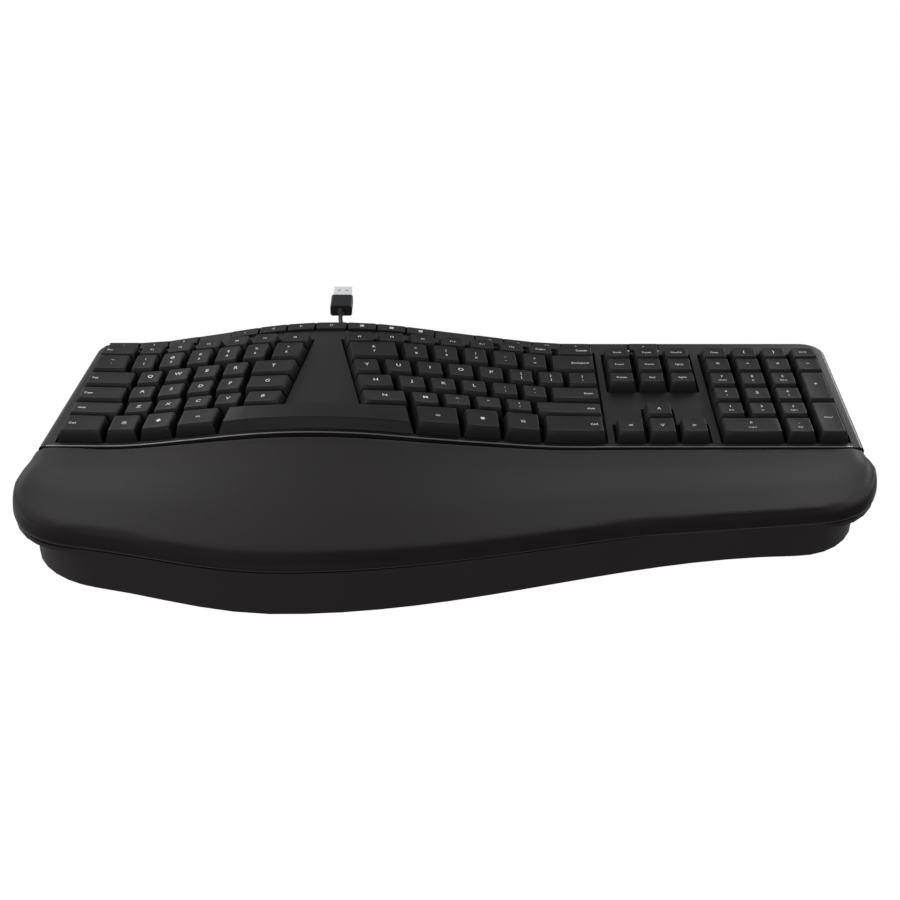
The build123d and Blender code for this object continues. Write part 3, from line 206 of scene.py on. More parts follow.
# Extruded PVC has a faint waviness and a broad soft highlight
pvcJacket = mouldedPlastic({
    "name": "Extruded PVC cable jacket", "dark": "#141415", "light": "#1b1b1c", "grain": 1.6, "cloud": 9,
    "roughness": (0.38, 0.48), "bump": 0.1, "depth": 0.05, "ior": 1.53,
})
# The same PVC moulded over the plug's end: finer, with a tighter highlight on its rounded edges
plugPvc = mouldedPlastic({
    "name": "Overmoulded PVC plug body", "dark": "#131313", "light": "#181818", "grain": 0.5, "cloud": 6,
    "roughness": (0.4, 0.5), "bump": 0.12, "depth": 0.04, "ior": 1.53,
})
# Woven nylon breaks the light on its threads and looks nearly flat
nylonTie = mouldedPlastic({
    "name": "Woven nylon tie", "dark": "#101011", "light": "#1a1a1b", "grain": 0.35, "cloud": 3,
    "roughness": (0.7, 0.85), "bump": 0.4, "depth": 0.15, "ior": 1.53,
})
# Cast film is smooth and glossy, milky with the printed layers under it
polyesterFilm = mouldedPlastic({
    "name": "Polyester switch film", "dark": "#8f9690", "light": "#a3aaa4", "grain": 2.0, "cloud": 20,
    "roughness": (0.14, 0.22), "bump": 0.04, "depth": 0.05, "ior": 1.6,
})
# Solder mask is a deep green varnish that shines over the weave of the glass
solderMask = mouldedPlastic({
    "name": "Glass epoxy board, green solder mask", "dark": "#0e3b22", "light": "#14492b",
    "grain": 0.8, "cloud": 8, "roughness": (0.25, 0.35), "bump": 0.05, "depth": 0.03, "ior": 1.55,
})
# Pebbled leatherette, drawn a little coarser than life so that the grain can be seen
palmLeatherette = grainedLeatherette({
    "name": "Embossed leatherette over foam", "dark": "#110e0f", "light": "#161314",
    "pebble": 1.1, "cloud": 60, "roughness": (0.5, 0.62), "bump": 0.25, "depth": 0.12,
    "ior": 1.48, "mirror": 0.03, "sheen": 0.05, "sheenRoughness": 0.5,
})
# Nickel over drawn steel: bright, with the drawing lines along the shell
plugSteel = platedSteel({
    "name": "Nickel-plated drawn steel", "dark": "#b9bbbd", "light": "#d6d8da",
    "stretch": (1.0, 0.08, 1.0), "line": 0.35, "roughness": (0.2, 0.32),
})
# Zinc over rolled steel: greyer and duller, its lines along the roll
plateSteel = platedSteel({
    "name": "Zinc-plated rolled steel", "dark": "#8e9194", "light": "#a9acaf",
    "stretch": (0.05, 1.0, 1.0), "line": 0.5, "roughness": (0.34, 0.46),
})
# Pad-printed ink lies as an even, matt, off-white film
legendInk = mouldedPlastic({
    "name": "Pad-printed white ink", "dark": "#c4c4c6", "light": "#d6d6d8", "grain": 0.4, "cloud": 4,
    "roughness": (0.5, 0.6), "bump": 0.02, "depth": 0.01, "ior": 1.5,
})
print("materials ready")

nodeFinish = {
    "top_case": deckAbs, "bottom_case": baseAbs, "palm_rest_tray": baseAbs,
    "palm_rest_pad": palmLeatherette, "key_frame": innerAbs, "dome_sheet": siliconeRubber,
    "membrane": polyesterFilm, "backing_plate": plateSteel,
    "controller_board": solderMask, "case_screws": plateSteel, "rubber_feet": siliconeRubber,
    "tilt_foot_left": baseAbs, "tilt_foot_right": baseAbs, "cable_strain_relief": pvcJacket,
    "cable_lead": pvcJacket, "cable_hank": pvcJacket, "plug_lead": pvcJacket, "hank_tie": nylonTie,
    "plug_strain_relief": plugPvc, "plug_body": plugPvc, "plug_shell": plugSteel,
}
for name, node in frame["nodes"].items():
    node.data.materials.clear()
    node.data.materials.append(nodeFinish.get(name, capAbs))


def newPiece(name, build, material, body, smooth=True):
    # a mesh as an object of its own that rides on a body of the frame
    mesh = bpy.data.meshes.new(name)
    build.to_mesh(mesh)
    build.free()
    piece = bpy.data.objects.new(name, mesh)
    scene.collection.objects.link(piece)
    mesh.materials.append(material)
    if smooth:
        mesh.polygons.foreach_set("use_smooth", [True] * len(mesh.polygons))
    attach(piece, body)
    return piece


mergeWithin = 1e-6  # metres between two corners that are one


def cleanedMesh(node, flatWithin):
    # a node's mesh without its doubled corners and its flat sides' diagonals
    build = bmesh.new()
    build.from_mesh(node.data)
    bmesh.ops.remove_doubles(build, verts=build.verts, dist=mergeWithin)
    bmesh.ops.dissolve_limit(build, angle_limit=radians(flatWithin), verts=build.verts, edges=build.edges)
    return build


# Keycaps: each stands where its solid stands, with rounded edges and a dished top
capShape = {
    "flatWithin": 0.6, "upward": 0.9, "drop": 0.8,  # how a cap's top, shoulder and base are found
    "cornerLow": 0.7, "cornerHigh": 0.9, "shoulder": 0.85, "crisp": 0.65, "cornerReach": 0.45,
    "dish": 0.28, "flatDish": 0.06, "dishAlong": 0.35, "rings": (0.86, 0.66, 0.42, 0.18),
    "arcSteps": 3, "edgeSteps": 3, "sideSteps": 5, "rowBand": 9,  # a row of keys is over 9 mm deep
}


def solidsOf(node):
    # the separate solids of a node, each as its outer corners
    build = cleanedMesh(node, capShape["flatWithin"])
    seen, solids = set(), []
    for start in build.verts:
        if start in seen:
            continue
        group, stack = [], [start]
        seen.add(start)
        while stack:
            vert = stack.pop()
            group.append(vert)
            for edge in vert.link_edges:
                other = edge.other_vert(vert)
                if other not in seen:
                    seen.add(other)
                    stack.append(other)
        solids.append(group)
    return build, solids


def capCorners(group):
    # base, shoulder and top corners of one cap
    faces = {face for vert in group for face in vert.link_faces}
    upward = [face for face in faces if face.normal.z > capShape["upward"] and len(face.verts) == 4]
    top = max(upward, key=lambda face: face.calc_center_median().z)
    topSet = set(top.verts)
    corners = []
    for vert in top.verts:
        beside = [e.other_vert(vert) for e in vert.link_edges if e.other_vert(vert) not in topSet]
        shoulder = min(beside, key=lambda v: (v.co - vert.co).length)
        under = [e.other_vert(shoulder) for e in shoulder.link_edges]
        under = [v for v in under if v.co.z < shoulder.co.z - capShape["drop"] * mm]
        base = min(under, key=lambda v: hypot(v.co.x - shoulder.co.x, v.co.y - shoulder.co.y))
        corners.append((vert.co.copy(), shoulder.co.copy(), base.co.copy()))
    centre = sum((c[0] for c in corners), Vector()) / 4
    corners.sort(key=lambda c: atan2(c[0].y - centre.y, c[0].x - centre.x))
    return [[c[i] for c in corners] for i in (2, 1, 0)]


def roundedQuad(corners, radius, steps):
    # a quad whose corners are turned on short curves, with points along its sides
    arcs = []
    for i, corner in enumerate(corners):
        back, ahead = corners[i - 1] - corner, corners[(i + 1) % 4] - corner
        longest = min(back.length * capShape["cornerReach"], ahead.length * capShape["cornerReach"])
        reach = min(radius * mm, longest)
        back, ahead = back.normalized() * reach, ahead.normalized() * reach
        shares = [k / steps for k in range(steps + 1)]
        arcs.append([corner + back * (1 - t) ** 2 + ahead * t ** 2 for t in shares])
    ring = []
    for i, arc in enumerate(arcs):
        ring += arc
        for k in range(1, capShape["sideSteps"] + 1):
            ring.append(arc[-1].lerp(arcs[(i + 1) % 4][0], k / (capShape["sideSteps"] + 1)))
    return ring


def addRing(build, points):
    return [build.verts.new(p) for p in points]


def bridge(build, low, high):
    count = len(low)
    for i in range(count):
        j = (i + 1) % count
        build.faces.new((low[i], low[j], high[j], high[i]))


class CapTop:
    # the upper surface of a cap: a plane with a shallow dish
    def __init__(self, top, dish):
        self.dish = dish
        self.centre = sum(top, Vector()) / 4
        self.normal = (top[2] - top[0]).cross(top[3] - top[1]).normalized()
        self.across = ((top[1] - top[0]) + (top[2] - top[3])).normalized()
        self.up = self.normal.cross(self.across)
        self.wide = ((top[1] - top[0]).length + (top[2] - top[3]).length) / 2
        self.deep = ((top[3] - top[0]).length + (top[2] - top[1]).length) / 2

    def sink(self, point):
        u = 2 * (point - self.centre).dot(self.across) / self.wide
        v = 2 * (point - self.centre).dot(self.up) / self.deep
        return -self.dish * mm * max(0.0, 1 - u * u) * max(0.0, 1 - v * v * capShape["dishAlong"])

    def at(self, x, y, lift):
        point = self.centre + self.across * x + self.up * y
        return point + self.normal * (self.sink(point) + lift)


def addCap(build, base, shoulder, top, dish):
    # one cap: its sides, an eased edge round the knee and rings over the dish
    steps = capShape["arcSteps"]
    surface = CapTop(top, dish)
    knee = []
    for b, s in zip(base, shoulder):
        wall = (s - b).normalized()
        rise = (surface.centre - s).dot(surface.normal) / wall.dot(surface.normal)
        knee.append(s + wall * rise)
    shoulder = [s.lerp(k, capShape["crisp"]) for s, k in zip(shoulder, knee)]
    top = [p.lerp(k, capShape["crisp"]) for p, k in zip(top, knee)]
    low = addRing(build, roundedQuad(base, capShape["cornerLow"], steps))
    rings = [low, addRing(build, roundedQuad(shoulder, capShape["cornerHigh"] * capShape["shoulder"], steps))]
    for k in range(1, capShape["edgeSteps"] + 1):
        t = k / capShape["edgeSteps"]
        quad = [s * (1 - t) ** 2 + c * 2 * t * (1 - t) + p * t ** 2 for s, c, p in zip(shoulder, knee, top)]
        rings.append(addRing(build, roundedQuad(quad, capShape["cornerHigh"], steps)))
    outline = roundedQuad(top, capShape["cornerHigh"], steps)
    for share in capShape["rings"]:
        points = []
        for p in outline:
            q = surface.centre + (p - surface.centre) * share
            points.append(q + surface.normal * surface.sink(q))
        rings.append(addRing(build, points))
    for a, b in zip(rings[:-1], rings[1:]):
        bridge(build, a, b)
    build.faces.new(rings[-1])
    build.faces.new(low[::-1])
    return surface


# Legends by node, each list from left to right (and from the rear for the blocks of keys);
# a slash parts an upper mark from a lower one
legends = {
    "escape_key": ["Esc"],
    "function_keys_left": ["F1", "F2", "F3", "F4", "F5", "F6"],
    "function_keys_right": ["F7", "F8", "F9", "F10", "F11", "F12", "PrtScn"],
    "delete_key": ["Delete"],
    "number_keys_left": ["~/`", "!/1", "@/2", "#/3", "$/4", "%/5", "^/6"],
    "number_keys_right": ["&/7", "*/8", "(/9", ")/0", "_/-", "+/="],
    "backspace_key": ["Backspace"],
    "tab_key": ["Tab"], "upper_letters_left": list("QWERT"),
    "upper_letters_right": ["Y", "U", "I", "O", "P", "{/[", "}/]"],
    "backslash_key": ["|/\\"],
    "caps_lock_key": ["Caps"], "home_letters_left": list("ASDFG"),
    "home_letters_right": ["H", "J", "K", "L", ":/;", "\"/'"], "enter_key": ["Enter"],
    "shift_key_left": ["Shift"], "lower_letters_left": list("ZXCVB"),
    "lower_letters_right": ["N", "M", "</,", ">/.", "?//"], "shift_key_right": ["Shift"],
    "control_key_left": ["Ctrl"], "alt_key_left": ["Alt"],
    "alt_key_right": ["Alt"], "control_key_right": ["Ctrl"],
    "arrow_key_left": ["<arrow"], "arrow_key_down": ["varrow"],
    "arrow_key_right": [">arrow"], "arrow_key_up": ["^arrow"],
    "navigation_keys": ["ScrLk", "Pause", "NumLk", "Insert", "Home", "PgUp", "Delete", "End", "PgDn"],
    "numpad_operators": ["Clear", "(", ")", "▭", "=", "÷", "×", "−"],
    "numpad_digits": ["7/Home", "8/ʌ", "9/PgUp", "4/‹", "5", "6/›", "1/End", "2/∨", "3/PgDn", "./Del"],
    "numpad_zero": ["0/Insert"], "numpad_plus": ["+"], "numpad_enter": ["Enter"],
    "command_keys_left": ["▣", "◆"], "command_keys_right": ["●", "▤"],
    "favourite_keys": ["1", "2", "3"],
    "media_keys": ["♪", "◁", "▷", "▢", "⏪", "⏯", "⏩"],
    "utility_keys": ["▭", "⌂", "✉", "★", "⌕"],
}
signs = {"command_keys_left", "command_keys_right", "favourite_keys", "media_keys", "utility_keys"}
wordLeft = {"escape_key", "tab_key", "caps_lock_key", "shift_key_left", "control_key_left"}
wordRight = {"delete_key", "backspace_key", "enter_key", "shift_key_right", "control_key_right"}
legendLook = {  # sizes in millimetres, shifts up and down as shares of the cap's depth
    "letter": 4.2, "pair": 3.0, "word": 2.3, "small": 2.6, "sign": 3.2, "second": 1.9,
    "letterUp": 0.08, "pairUp": 0.2, "pairDown": 0.16, "smallDown": 0.02,
    "margin": 1.6, "halfLetter": 0.62, "deepCap": 8, "bolder": 0.008, "lift": 0.08,
}
glyphStore = {}


def glyphMesh(text, size):
    # the points and faces of one piece of text, made once
    if (text, size) not in glyphStore:
        curve = bpy.data.curves.new("glyph", "FONT")
        curve.body, curve.size = text, size * mm
        curve.align_x, curve.align_y = "CENTER", "CENTER"
        curve.resolution_u = 3
        curve.offset = legendLook["bolder"] * size * mm
        holder = bpy.data.objects.new("glyph", curve)
        mesh = bpy.data.meshes.new_from_object(holder)
        points = [v.co.copy() for v in mesh.vertices]
        glyphStore[(text, size)] = (points, [list(p.vertices) for p in mesh.polygons])
        bpy.data.objects.remove(holder)
        bpy.data.curves.remove(curve)
        bpy.data.meshes.remove(mesh)
    return glyphStore[(text, size)]


def printGlyph(build, surface, text, size, x, y, turn=0.0):
    # text laid on a cap's dish, a little above it
    points, faces = glyphMesh(text, size)
    c, s, lift = cos(turn), sin(turn), legendLook["lift"] * mm
    verts = [
        build.verts.new(surface.at(x * mm + p.x * c - p.y * s, y * mm + p.x * s + p.y * c, lift))
        for p in points
    ]
    for face in faces:
        build.faces.new([verts[i] for i in face])


def printLegend(build, surface, label, node):
    look = legendLook
    wide, deep = surface.wide / mm, surface.deep / mm
    aside = wide / 2 - look["margin"] - len(label) * look["halfLetter"]
    if label.endswith("arrow"):
        turn = {"<": pi / 2, "^": 0.0, ">": -pi / 2, "v": pi}[label[0]]
        printGlyph(build, surface, "ʌ", look["letter"], 0, 0, turn)
    elif "/" in label and len(label) > 2:
        lower = look["pair"] if len(label) == 3 else look["second"]
        printGlyph(build, surface, label[0], look["pair"], 0, deep * look["pairUp"])
        printGlyph(build, surface, label[2:], lower, 0, -deep * look["pairDown"])
    elif node in signs:
        printGlyph(build, surface, label, look["sign"] if deep > look["deepCap"] else look["word"], 0, 0)
    elif len(label) == 1:
        printGlyph(build, surface, label, look["letter"], 0, deep * look["letterUp"])
    elif node in wordLeft:
        printGlyph(build, surface, label, look["small"], -aside, -deep * look["smallDown"])
    elif node in wordRight:
        printGlyph(build, surface, label, look["small"], aside, -deep * look["smallDown"])
    else:
        printGlyph(build, surface, label, look["word"], 0, 0)


flatKeys = {"favourite_keys", "media_keys", "utility_keys"}
keyBlocks = {"navigation_keys", "numpad_digits", "numpad_operators"}  # several rows deep
capCount = 0
for name, node in frame["nodes"].items():
    body = body_of(node)[0]
    if body == "housing" or name.startswith("tilt_foot") or name == "space_bar":
        continue
    source, solids = solidsOf(node)
    found = [capCorners(group) for group in solids]
    source.free()
    middles = [sum(corners[2], Vector()) / 4 for corners in found]
    rows = [-round(p.y / (capShape["rowBand"] * mm)) if name in keyBlocks else 0 for p in middles]
    order = sorted(range(len(found)), key=lambda i: (rows[i], middles[i].x))
    dish = capShape["flatDish"] if name in flatKeys else capShape["dish"]
    build, ink = bmesh.new(), bmesh.new()
    for place, i in enumerate(order):
        surface = addCap(build, *found[i], dish)
        if name in legends:
            printLegend(ink, surface, legends[name][place], name)
    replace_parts(newPiece(name + "_caps", build, capAbs, body), name)
    capCount += len(found)
    if len(ink.verts):
        newPiece(name + "_legends", ink, legendInk, body, smooth=False)
    else:
        ink.free()
print("keycaps", capCount)

# Mouldings that keep the solid's form, most of them with eased edges
moulding = {"flatWithin": 0.4, "sharp": 28, "ease": 0.3, "barEase": 0.45}


def easedCopy(node, pieceName, material, width=0.0, steps=2):
    # the node's own form, its edges eased as a mould leaves them where a width is given, and its facets
    # shaded as curves
    build = cleanedMesh(frame["nodes"][node], moulding["flatWithin"])
    piece = newPiece(pieceName, build, material, body_of(frame["nodes"][node])[0])
    piece.data.set_sharp_from_angle(angle=radians(moulding["sharp"]))
    if width:
        bevel = piece.modifiers.new("eased edges", "BEVEL")
        bevel.width, bevel.segments, bevel.limit_method = width * mm, steps, "ANGLE"
        bevel.angle_limit = radians(moulding["sharp"])
    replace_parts(piece, node)


easedCopy("space_bar", "space_bar_cap", capAbs, moulding["barEase"], 3)
easedCopy("top_case", "upper_case", deckAbs, moulding["ease"])
easedCopy("bottom_case", "lower_case", baseAbs)
easedCopy("palm_rest_tray", "palm_tray", baseAbs, moulding["ease"])

# Trim: a light grey bead along the deck's front edge, between the keys and the palm rest, carrying a painted
# highlight line
lipHighlightTrim = {
    "wide": 1.3, "high": 0.3, "back": 0.15, "sunk": 0.1, "spacing": 4.0, "reach": 226.0, "arc": 6,
    "from": -14.0, "step": 0.1, "steps": 260, "above": 12.0, "smooth": 3,
}


def frontEdge(tree, x):
    # the first place from the front where the deck lies under x
    for i in range(lipHighlightTrim["steps"]):
        y = (lipHighlightTrim["from"] + i * lipHighlightTrim["step"]) * mm
        hit = tree.ray_cast(Vector((x, y, 1)), Vector((0, 0, -1)))[0]
        if hit and hit.z > lipHighlightTrim["above"] * mm:
            return hit
    return None


def highlightLipPiece():
    # a half-round bead swept along the deck's front edge, coloured as a painted highlight
    solid = bmesh.new()
    solid.from_mesh(frame["nodes"]["top_case"].data)
    tree = BVHTree.FromBMesh(solid)
    solid.free()
    count = int(2 * lipHighlightTrim["reach"] / lipHighlightTrim["spacing"])
    edge = [frontEdge(tree, (-1 + 2 * i / count) * lipHighlightTrim["reach"] * mm) for i in range(count + 1)]
    edge = [place for place in edge if place]
    for _ in range(lipHighlightTrim["smooth"]):
        edge = [edge[0]] + [(a + c) / 4 + b / 2 for a, b, c in zip(edge, edge[1:], edge[2:])] + [edge[-1]]
    build = bmesh.new()
    rings = []
    for place in edge:
        ring = []
        for k in range(lipHighlightTrim["arc"] + 1):
            a = pi * k / lipHighlightTrim["arc"]
            y = (lipHighlightTrim["back"] + lipHighlightTrim["wide"] / 2 * (1 - cos(a))) * mm
            ring.append(place + Vector((0, y, (lipHighlightTrim["high"] * sin(a) - lipHighlightTrim["sunk"]) * mm)))
        rings.append(addRing(build, ring))
    for a, b in zip(rings[:-1], rings[1:]):
        bridge(build, a, b)
    build.faces.new(rings[0])
    build.faces.new(rings[-1][::-1])
    bmesh.ops.recalc_face_normals(build, faces=build.faces)
    newPiece("deck_lip_painted_highlight", build, lipHighlightAbs, "housing")


highlightLipPiece()
print("mouldings ready")

# Palm rest: foam that swells a little under its cover, flat on its tray
padShape = {
    "spacing": 4.5, "around": 64, "span": 0.998, "steep": 4, "even": 4, "smooth": 2, "tip": 0.3,
    "ends": (0.15, 0.6, 1.3, 2.3, 3.6, 5.2, 7.2, 9.6, 12.5, 16.0),
    "slips": (0.0, 0.01, -0.02), "halvings": 14,
    "pressure": 4.0, "quality": 5, "frames": 20, "cap": 0.9,
}


def padHit(tree, x, y, side):
    # the pad's surface above or below a place, if it is there; a ray along an edge can slip through
    for slip in padShape["slips"]:
        hit = tree.ray_cast(Vector((x + slip * mm, y, side)), Vector((0, 0, -side)))[0]
        if hit:
            return hit
    return None


def padEdge(tree, x, inside, outside):
    # the pad's edge between a place inside it and one outside it
    for _ in range(padShape["halvings"]):
        y = (inside + outside) / 2
        if padHit(tree, x, y, 1):
            inside = y
        else:
            outside = y
    return inside


def padRing(tree, x, inside, low, high):
    # the solid's section at x, its points closest together at the front and rear noses
    front, rear = padEdge(tree, x, inside, low.y - mm), padEdge(tree, x, inside, high.y + mm)
    ring = []
    for i in range(padShape["around"]):
        a = 2 * pi * i / padShape["around"]
        y = (front + rear) / 2 + (rear - front) / 2 * padShape["span"] * cos(a)
        top, under = padHit(tree, x, y, 1), padHit(tree, x, y, -1)
        share = 0.5 + 0.5 * max(-1.0, min(1.0, padShape["steep"] * sin(a)))
        ring.append(Vector((x, y, under.z + (top.z - under.z) * share)))
    return ring


def padStations(low, high):
    # the sections' places along the pad, closer together at its ends
    ends = [d * mm for d in padShape["ends"]]
    first, last = low.x + ends[-1], high.x - ends[-1]
    count = round((last - first) / (padShape["spacing"] * mm))
    middle = [first + (last - first) * i / count for i in range(1, count)]
    return [low.x + d for d in ends] + middle + [high.x - d for d in reversed(ends)]


def palmPad():
    # the solid's form again in even rings, swollen and smoothed
    solid = bmesh.new()
    solid.from_mesh(frame["nodes"]["palm_rest_pad"].data)
    tree = BVHTree.FromBMesh(solid)
    low, high = (Vector(corner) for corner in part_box("palm_rest_pad"))
    tips = [[v.co.y for v in solid.verts if abs(v.co.x - x) < padShape["tip"] * mm] for x in (low.x, high.x)]
    left, right = (sum(tip) / len(tip) for tip in tips)
    solid.free()
    table = [padRing(tree, x, left if x < 0 else right, low, high) for x in padStations(low, high)]
    edge = len(padShape["ends"])
    for _ in range(padShape["even"]):
        before = [[p.copy() for p in ring] for ring in table]
        for i in range(edge, len(table) - edge):
            for j, p in enumerate(table[i]):
                q = (before[i - 1][j] + before[i + 1][j]) / 4 + before[i][j] / 2
                p.y, p.z = q.y, q.z
    build = bmesh.new()
    rings = [addRing(build, ring) for ring in table]
    for a, b in zip(rings[:-1], rings[1:]):
        bridge(build, a, b)
    for ring in (rings[0], rings[-1]):
        hub = build.verts.new(sum((v.co for v in ring), Vector()) / len(ring))
        for i, vert in enumerate(ring):
            build.faces.new((vert, ring[(i + 1) % len(ring)], hub))
    bmesh.ops.recalc_face_normals(build, faces=build.faces)
    for _ in range(padShape["smooth"]):
        bmesh.ops.smooth_vert(build, verts=build.verts, factor=0.5,
                              use_axis_x=True, use_axis_y=True, use_axis_z=True)
    piece = newPiece("palm_pad_cover", build, palmLeatherette, "housing")
    swell(piece)
    finer = piece.modifiers.new("finer", "SUBSURF")
    finer.levels = finer.render_levels = 1
    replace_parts(piece, "palm_rest_pad")
    return piece


def swell(piece):
    # air pressure stands in for the foam; a point moves outwards only, by no more than the cap,
    # and none sinks
    cloth = piece.modifiers.new("foam", "CLOTH")
    cloth.settings.quality = padShape["quality"]
    cloth.settings.use_pressure = True
    cloth.settings.uniform_pressure_force = padShape["pressure"]
    cloth.settings.effector_weights.gravity = 0
    start = [(vert.co.copy(), vert.normal.copy()) for vert in piece.data.vertices]
    for step in range(1, padShape["frames"] + 1):
        scene.frame_set(step)
    done = bpy.data.meshes.new_from_object(piece.evaluated_get(bpy.context.evaluated_depsgraph_get()))
    piece.modifiers.clear()
    scene.frame_set(1)
    for vert, (place, outward) in zip(done.vertices, start):
        swelling = max(0.0, min((vert.co - place).dot(outward), padShape["cap"] * mm))
        move = outward * swelling
        move.z = max(move.z, 0.0)
        vert.co = place + move
    piece.data = done


palmCover = palmPad()
print("palm rest", len(palmCover.data.vertices))

# Cable: the same route as the solids, as one smooth line
cable = {
    "diameter": 0.0028, "length": 1.26,
    "exit": (-0.008, 0.137, 0.0041),
    "lead": [(-0.008, 0.149, 0.0041), (-0.0302, 0.1579, 0.00215), (-0.0392, 0.1677, 0.00215)],
    "middle": -0.076, "half": 0.028, "far": 0.1677, "near": 0.1303, "step": 0.0031, "pairs": 4,
    "low": 0.00215, "high": 0.00545, "waist": 0.002, "start": 0.023, "end": 0.016,
    "firstTop": 6, "bendAngles": (72, 36, 0, -36, -72), "halfAngle": 18,
    "plug": [(-0.0715, 0.1625, 0.00545), (-0.0715, 0.1815, 0.00385)],
}


def hankLines(c):
    # the lines of the runs, far and near in turn: inwards on the floor, then outwards on top
    floor = []
    for i in range(c["pairs"]):
        floor += [c["far"] - c["step"] * i, c["near"] + c["step"] * i]
    first = floor[-1] + c["firstTop"] * c["diameter"]
    top = []
    for i in range(c["pairs"] - 2):
        top += [first + c["step"] * i, floor[-1] - c["step"] * (i + 1)]
    return floor, top + [first + c["step"] * (c["pairs"] - 2)]


def hankPoints(c):
    # along each line, drawn in at the waist for the tie, then round a half turn to the next line
    floor, top = hankLines(c)
    lines, climb = floor + top, len(floor) - 1
    points = []
    for i, y in enumerate(lines):
        side = 1 if i % 2 == 0 else -1
        low = c["low"] if i <= climb else c["high"]
        high = c["high"] if i >= climb else c["low"]
        points.append((c["middle"] + side * (c["half"] if i else c["start"]), y, low))
        if i == len(lines) - 1:
            points.append((c["middle"] + side * c["end"], y, high))
            break
        points.append((c["middle"], y - side * c["waist"], (low + high) / 2))
        points.append((c["middle"] - side * c["half"], y, high))
        radius, centre = abs(y - lines[i + 1]) / 2, (y + lines[i + 1]) / 2
        r = radius / cos(radians(c["halfAngle"]))
        for turn in c["bendAngles"]:
            a = radians(turn)
            points.append((c["middle"] - side * (c["half"] + r * cos(a)), centre + side * r * sin(a), high))
    return points


route = [cable["exit"]] + cable["lead"] + hankPoints(cable) + cable["plug"]
cableCurve = bpy.data.curves.new("keyboard_cable", "CURVE")
cableCurve.dimensions = "3D"
line = cableCurve.splines.new("NURBS")
line.points.add(len(route) - 1)
for point, place in zip(line.points, route):
    point.co = (*place, 1.0)
line.order_u = 3
line.use_endpoint_u = True
line.resolution_u = 6
cableCurve.bevel_depth = cable["diameter"] / 2
cableCurve.bevel_resolution = 4
cableCurve.materials.append(pvcJacket)
keyboardCable = bpy.data.objects.new("keyboard_cable", cableCurve)
scene.collection.objects.link(keyboardCable)
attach(keyboardCable, "housing")
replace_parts(keyboardCable, "cable_lead", "cable_hank", "plug_lead")
print("cable points", len(route))


# Stage: a pale floor that shows white to the camera and keeps the keyboard's shadow
stage = {
    "paint": "#6c6c6c", "glow": 1.02, "glowShare": 0.985, "ambient": 0.13, "backdrop": 1.0,
    "left": -6, "right": 6, "front": -4, "rear": 10,
}


def straightRays(tree):
    # the rays that come from the camera or from a mirror image, and the ray node itself
    rays = addNode(tree, "ShaderNodeLightPath")
    seen = addNode(tree, "ShaderNodeMath", {".operation": "MAXIMUM"},
                   {0: rays.outputs["Is Camera Ray"], 1: rays.outputs["Is Glossy Ray"]})
    return seen.outputs[0], rays


def floorMaterial():
    # matt white paint under soft light: white itself, with a faint shadow
    material, tree = newMaterial("Studio floor, matt white")
    seen, _ = straightRays(tree)
    share = addNode(tree, "ShaderNodeMath", {".operation": "MULTIPLY", 1: stage["glowShare"]}, {0: seen})
    paint = addNode(tree, "ShaderNodeBsdfDiffuse", {"Color": sRgb(stage["paint"])})
    glow = addNode(tree, "ShaderNodeEmission", {"Color": (1, 1, 1, 1), "Strength": stage["glow"]})
    mixed = addNode(tree, "ShaderNodeMixShader", None,
                    {0: share.outputs[0], 1: paint.outputs[0], 2: glow.outputs[0]})
    addNode(tree, "ShaderNodeOutputMaterial", links={"Surface": mixed.outputs[0]})
    return material


floorCorners = [(stage["left"], stage["front"], 0), (stage["right"], stage["front"], 0),
                (stage["right"], stage["rear"], 0), (stage["left"], stage["rear"], 0)]
floorMesh = bpy.data.meshes.new("floor")
floorMesh.from_pydata(floorCorners, [], [(0, 1, 2, 3)])
floorMesh.materials.append(floorMaterial())
studioFloor = bpy.data.objects.new("floor", floorMesh)
scene.collection.objects.link(studioFloor)

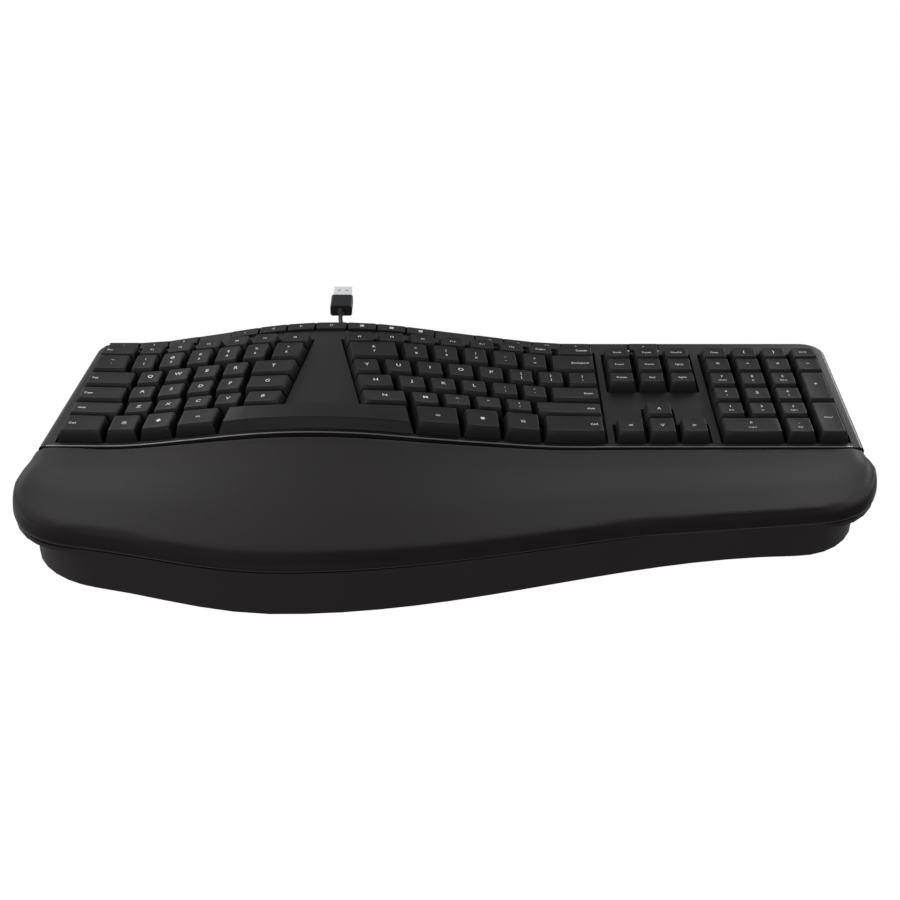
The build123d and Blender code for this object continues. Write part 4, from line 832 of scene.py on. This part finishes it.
# The room: white to the camera, in mirror images and through clear things, and dim as a light
world = bpy.data.worlds.new("studio")
scene.world = world
world.use_nodes = True
air = world.node_tree
air.nodes.clear()
seen, rays = straightRays(air)
ambient = addNode(air, "ShaderNodeBackground", {"Color": (1, 1, 1, 1), "Strength": stage["ambient"]})
backdrop = addNode(air, "ShaderNodeBackground", {"Color": (1, 1, 1, 1), "Strength": stage["backdrop"]})
clear = addNode(air, "ShaderNodeMath", {".operation": "MAXIMUM"},
                {0: seen, 1: rays.outputs["Is Transmission Ray"]})
worldMix = addNode(air, "ShaderNodeMixShader", None,
                   {0: clear.outputs[0], 1: ambient.outputs[0], 2: backdrop.outputs[0]})
addNode(air, "ShaderNodeOutputWorld", links={"Surface": worldMix.outputs[0]})

# Low lamps behind, which the caps and the deck mirror, a high one for the palm rest,
# one at the left for the rim, and one in front
lamps = [
    {"name": "low right", "place": (0.95, 1.2, 0.36), "aim": (0.15, 0.0, 0.0),
     "wide": 0.6, "high": 0.26, "power": 15.0},
    {"name": "low left", "place": (-0.85, 1.2, 0.42), "aim": (-0.15, 0.0, 0.0),
     "wide": 0.5, "high": 0.3, "power": 3.0},
    {"name": "high left", "place": (-0.8, 0.85, 1.1), "aim": (-0.15, -0.05, 0.0),
     "wide": 0.6, "high": 0.5, "power": 12.0},
    {"name": "left side", "place": (-1.2, 0.25, 0.3), "aim": (-0.2, 0.0, 0.0),
     "wide": 0.5, "high": 0.3, "power": 8.0},
    {"name": "front", "place": (-0.25, -1.25, 0.7), "aim": (0.0, 0.0, 0.0),
     "wide": 0.8, "high": 0.4, "power": 17.0},
]
for lamp in lamps:
    light = bpy.data.lights.new(lamp["name"], "AREA")
    light.shape = "RECTANGLE"
    light.size = lamp["wide"]
    light.size_y = lamp["high"]
    light.energy = lamp["power"]
    holder = bpy.data.objects.new(lamp["name"], light)
    holder.location = lamp["place"]
    away = Vector(lamp["place"]) - Vector(lamp["aim"])
    holder.rotation_euler = away.to_track_quat("Z", "Y").to_euler()
    scene.collection.objects.link(holder)

# The camera looks from the front and above, as the photograph does
view = {"lens": 67.6, "sensor": 36.0, "place": (0.0, -0.7934, 0.5315), "down": 33, "near": 0.05, "far": 50}
camera = bpy.data.cameras.new("camera")
camera.lens = view["lens"]
camera.sensor_width = view["sensor"]
camera.clip_start = view["near"]
camera.clip_end = view["far"]
cameraHolder = bpy.data.objects.new("camera", camera)
cameraHolder.location = view["place"]
cameraHolder.rotation_euler = (radians(90 - view["down"]), 0.0, 0.0)
scene.collection.objects.link(cameraHolder)
scene.camera = cameraHolder
scene.view_settings.view_transform = "Standard"
print("stage ready")
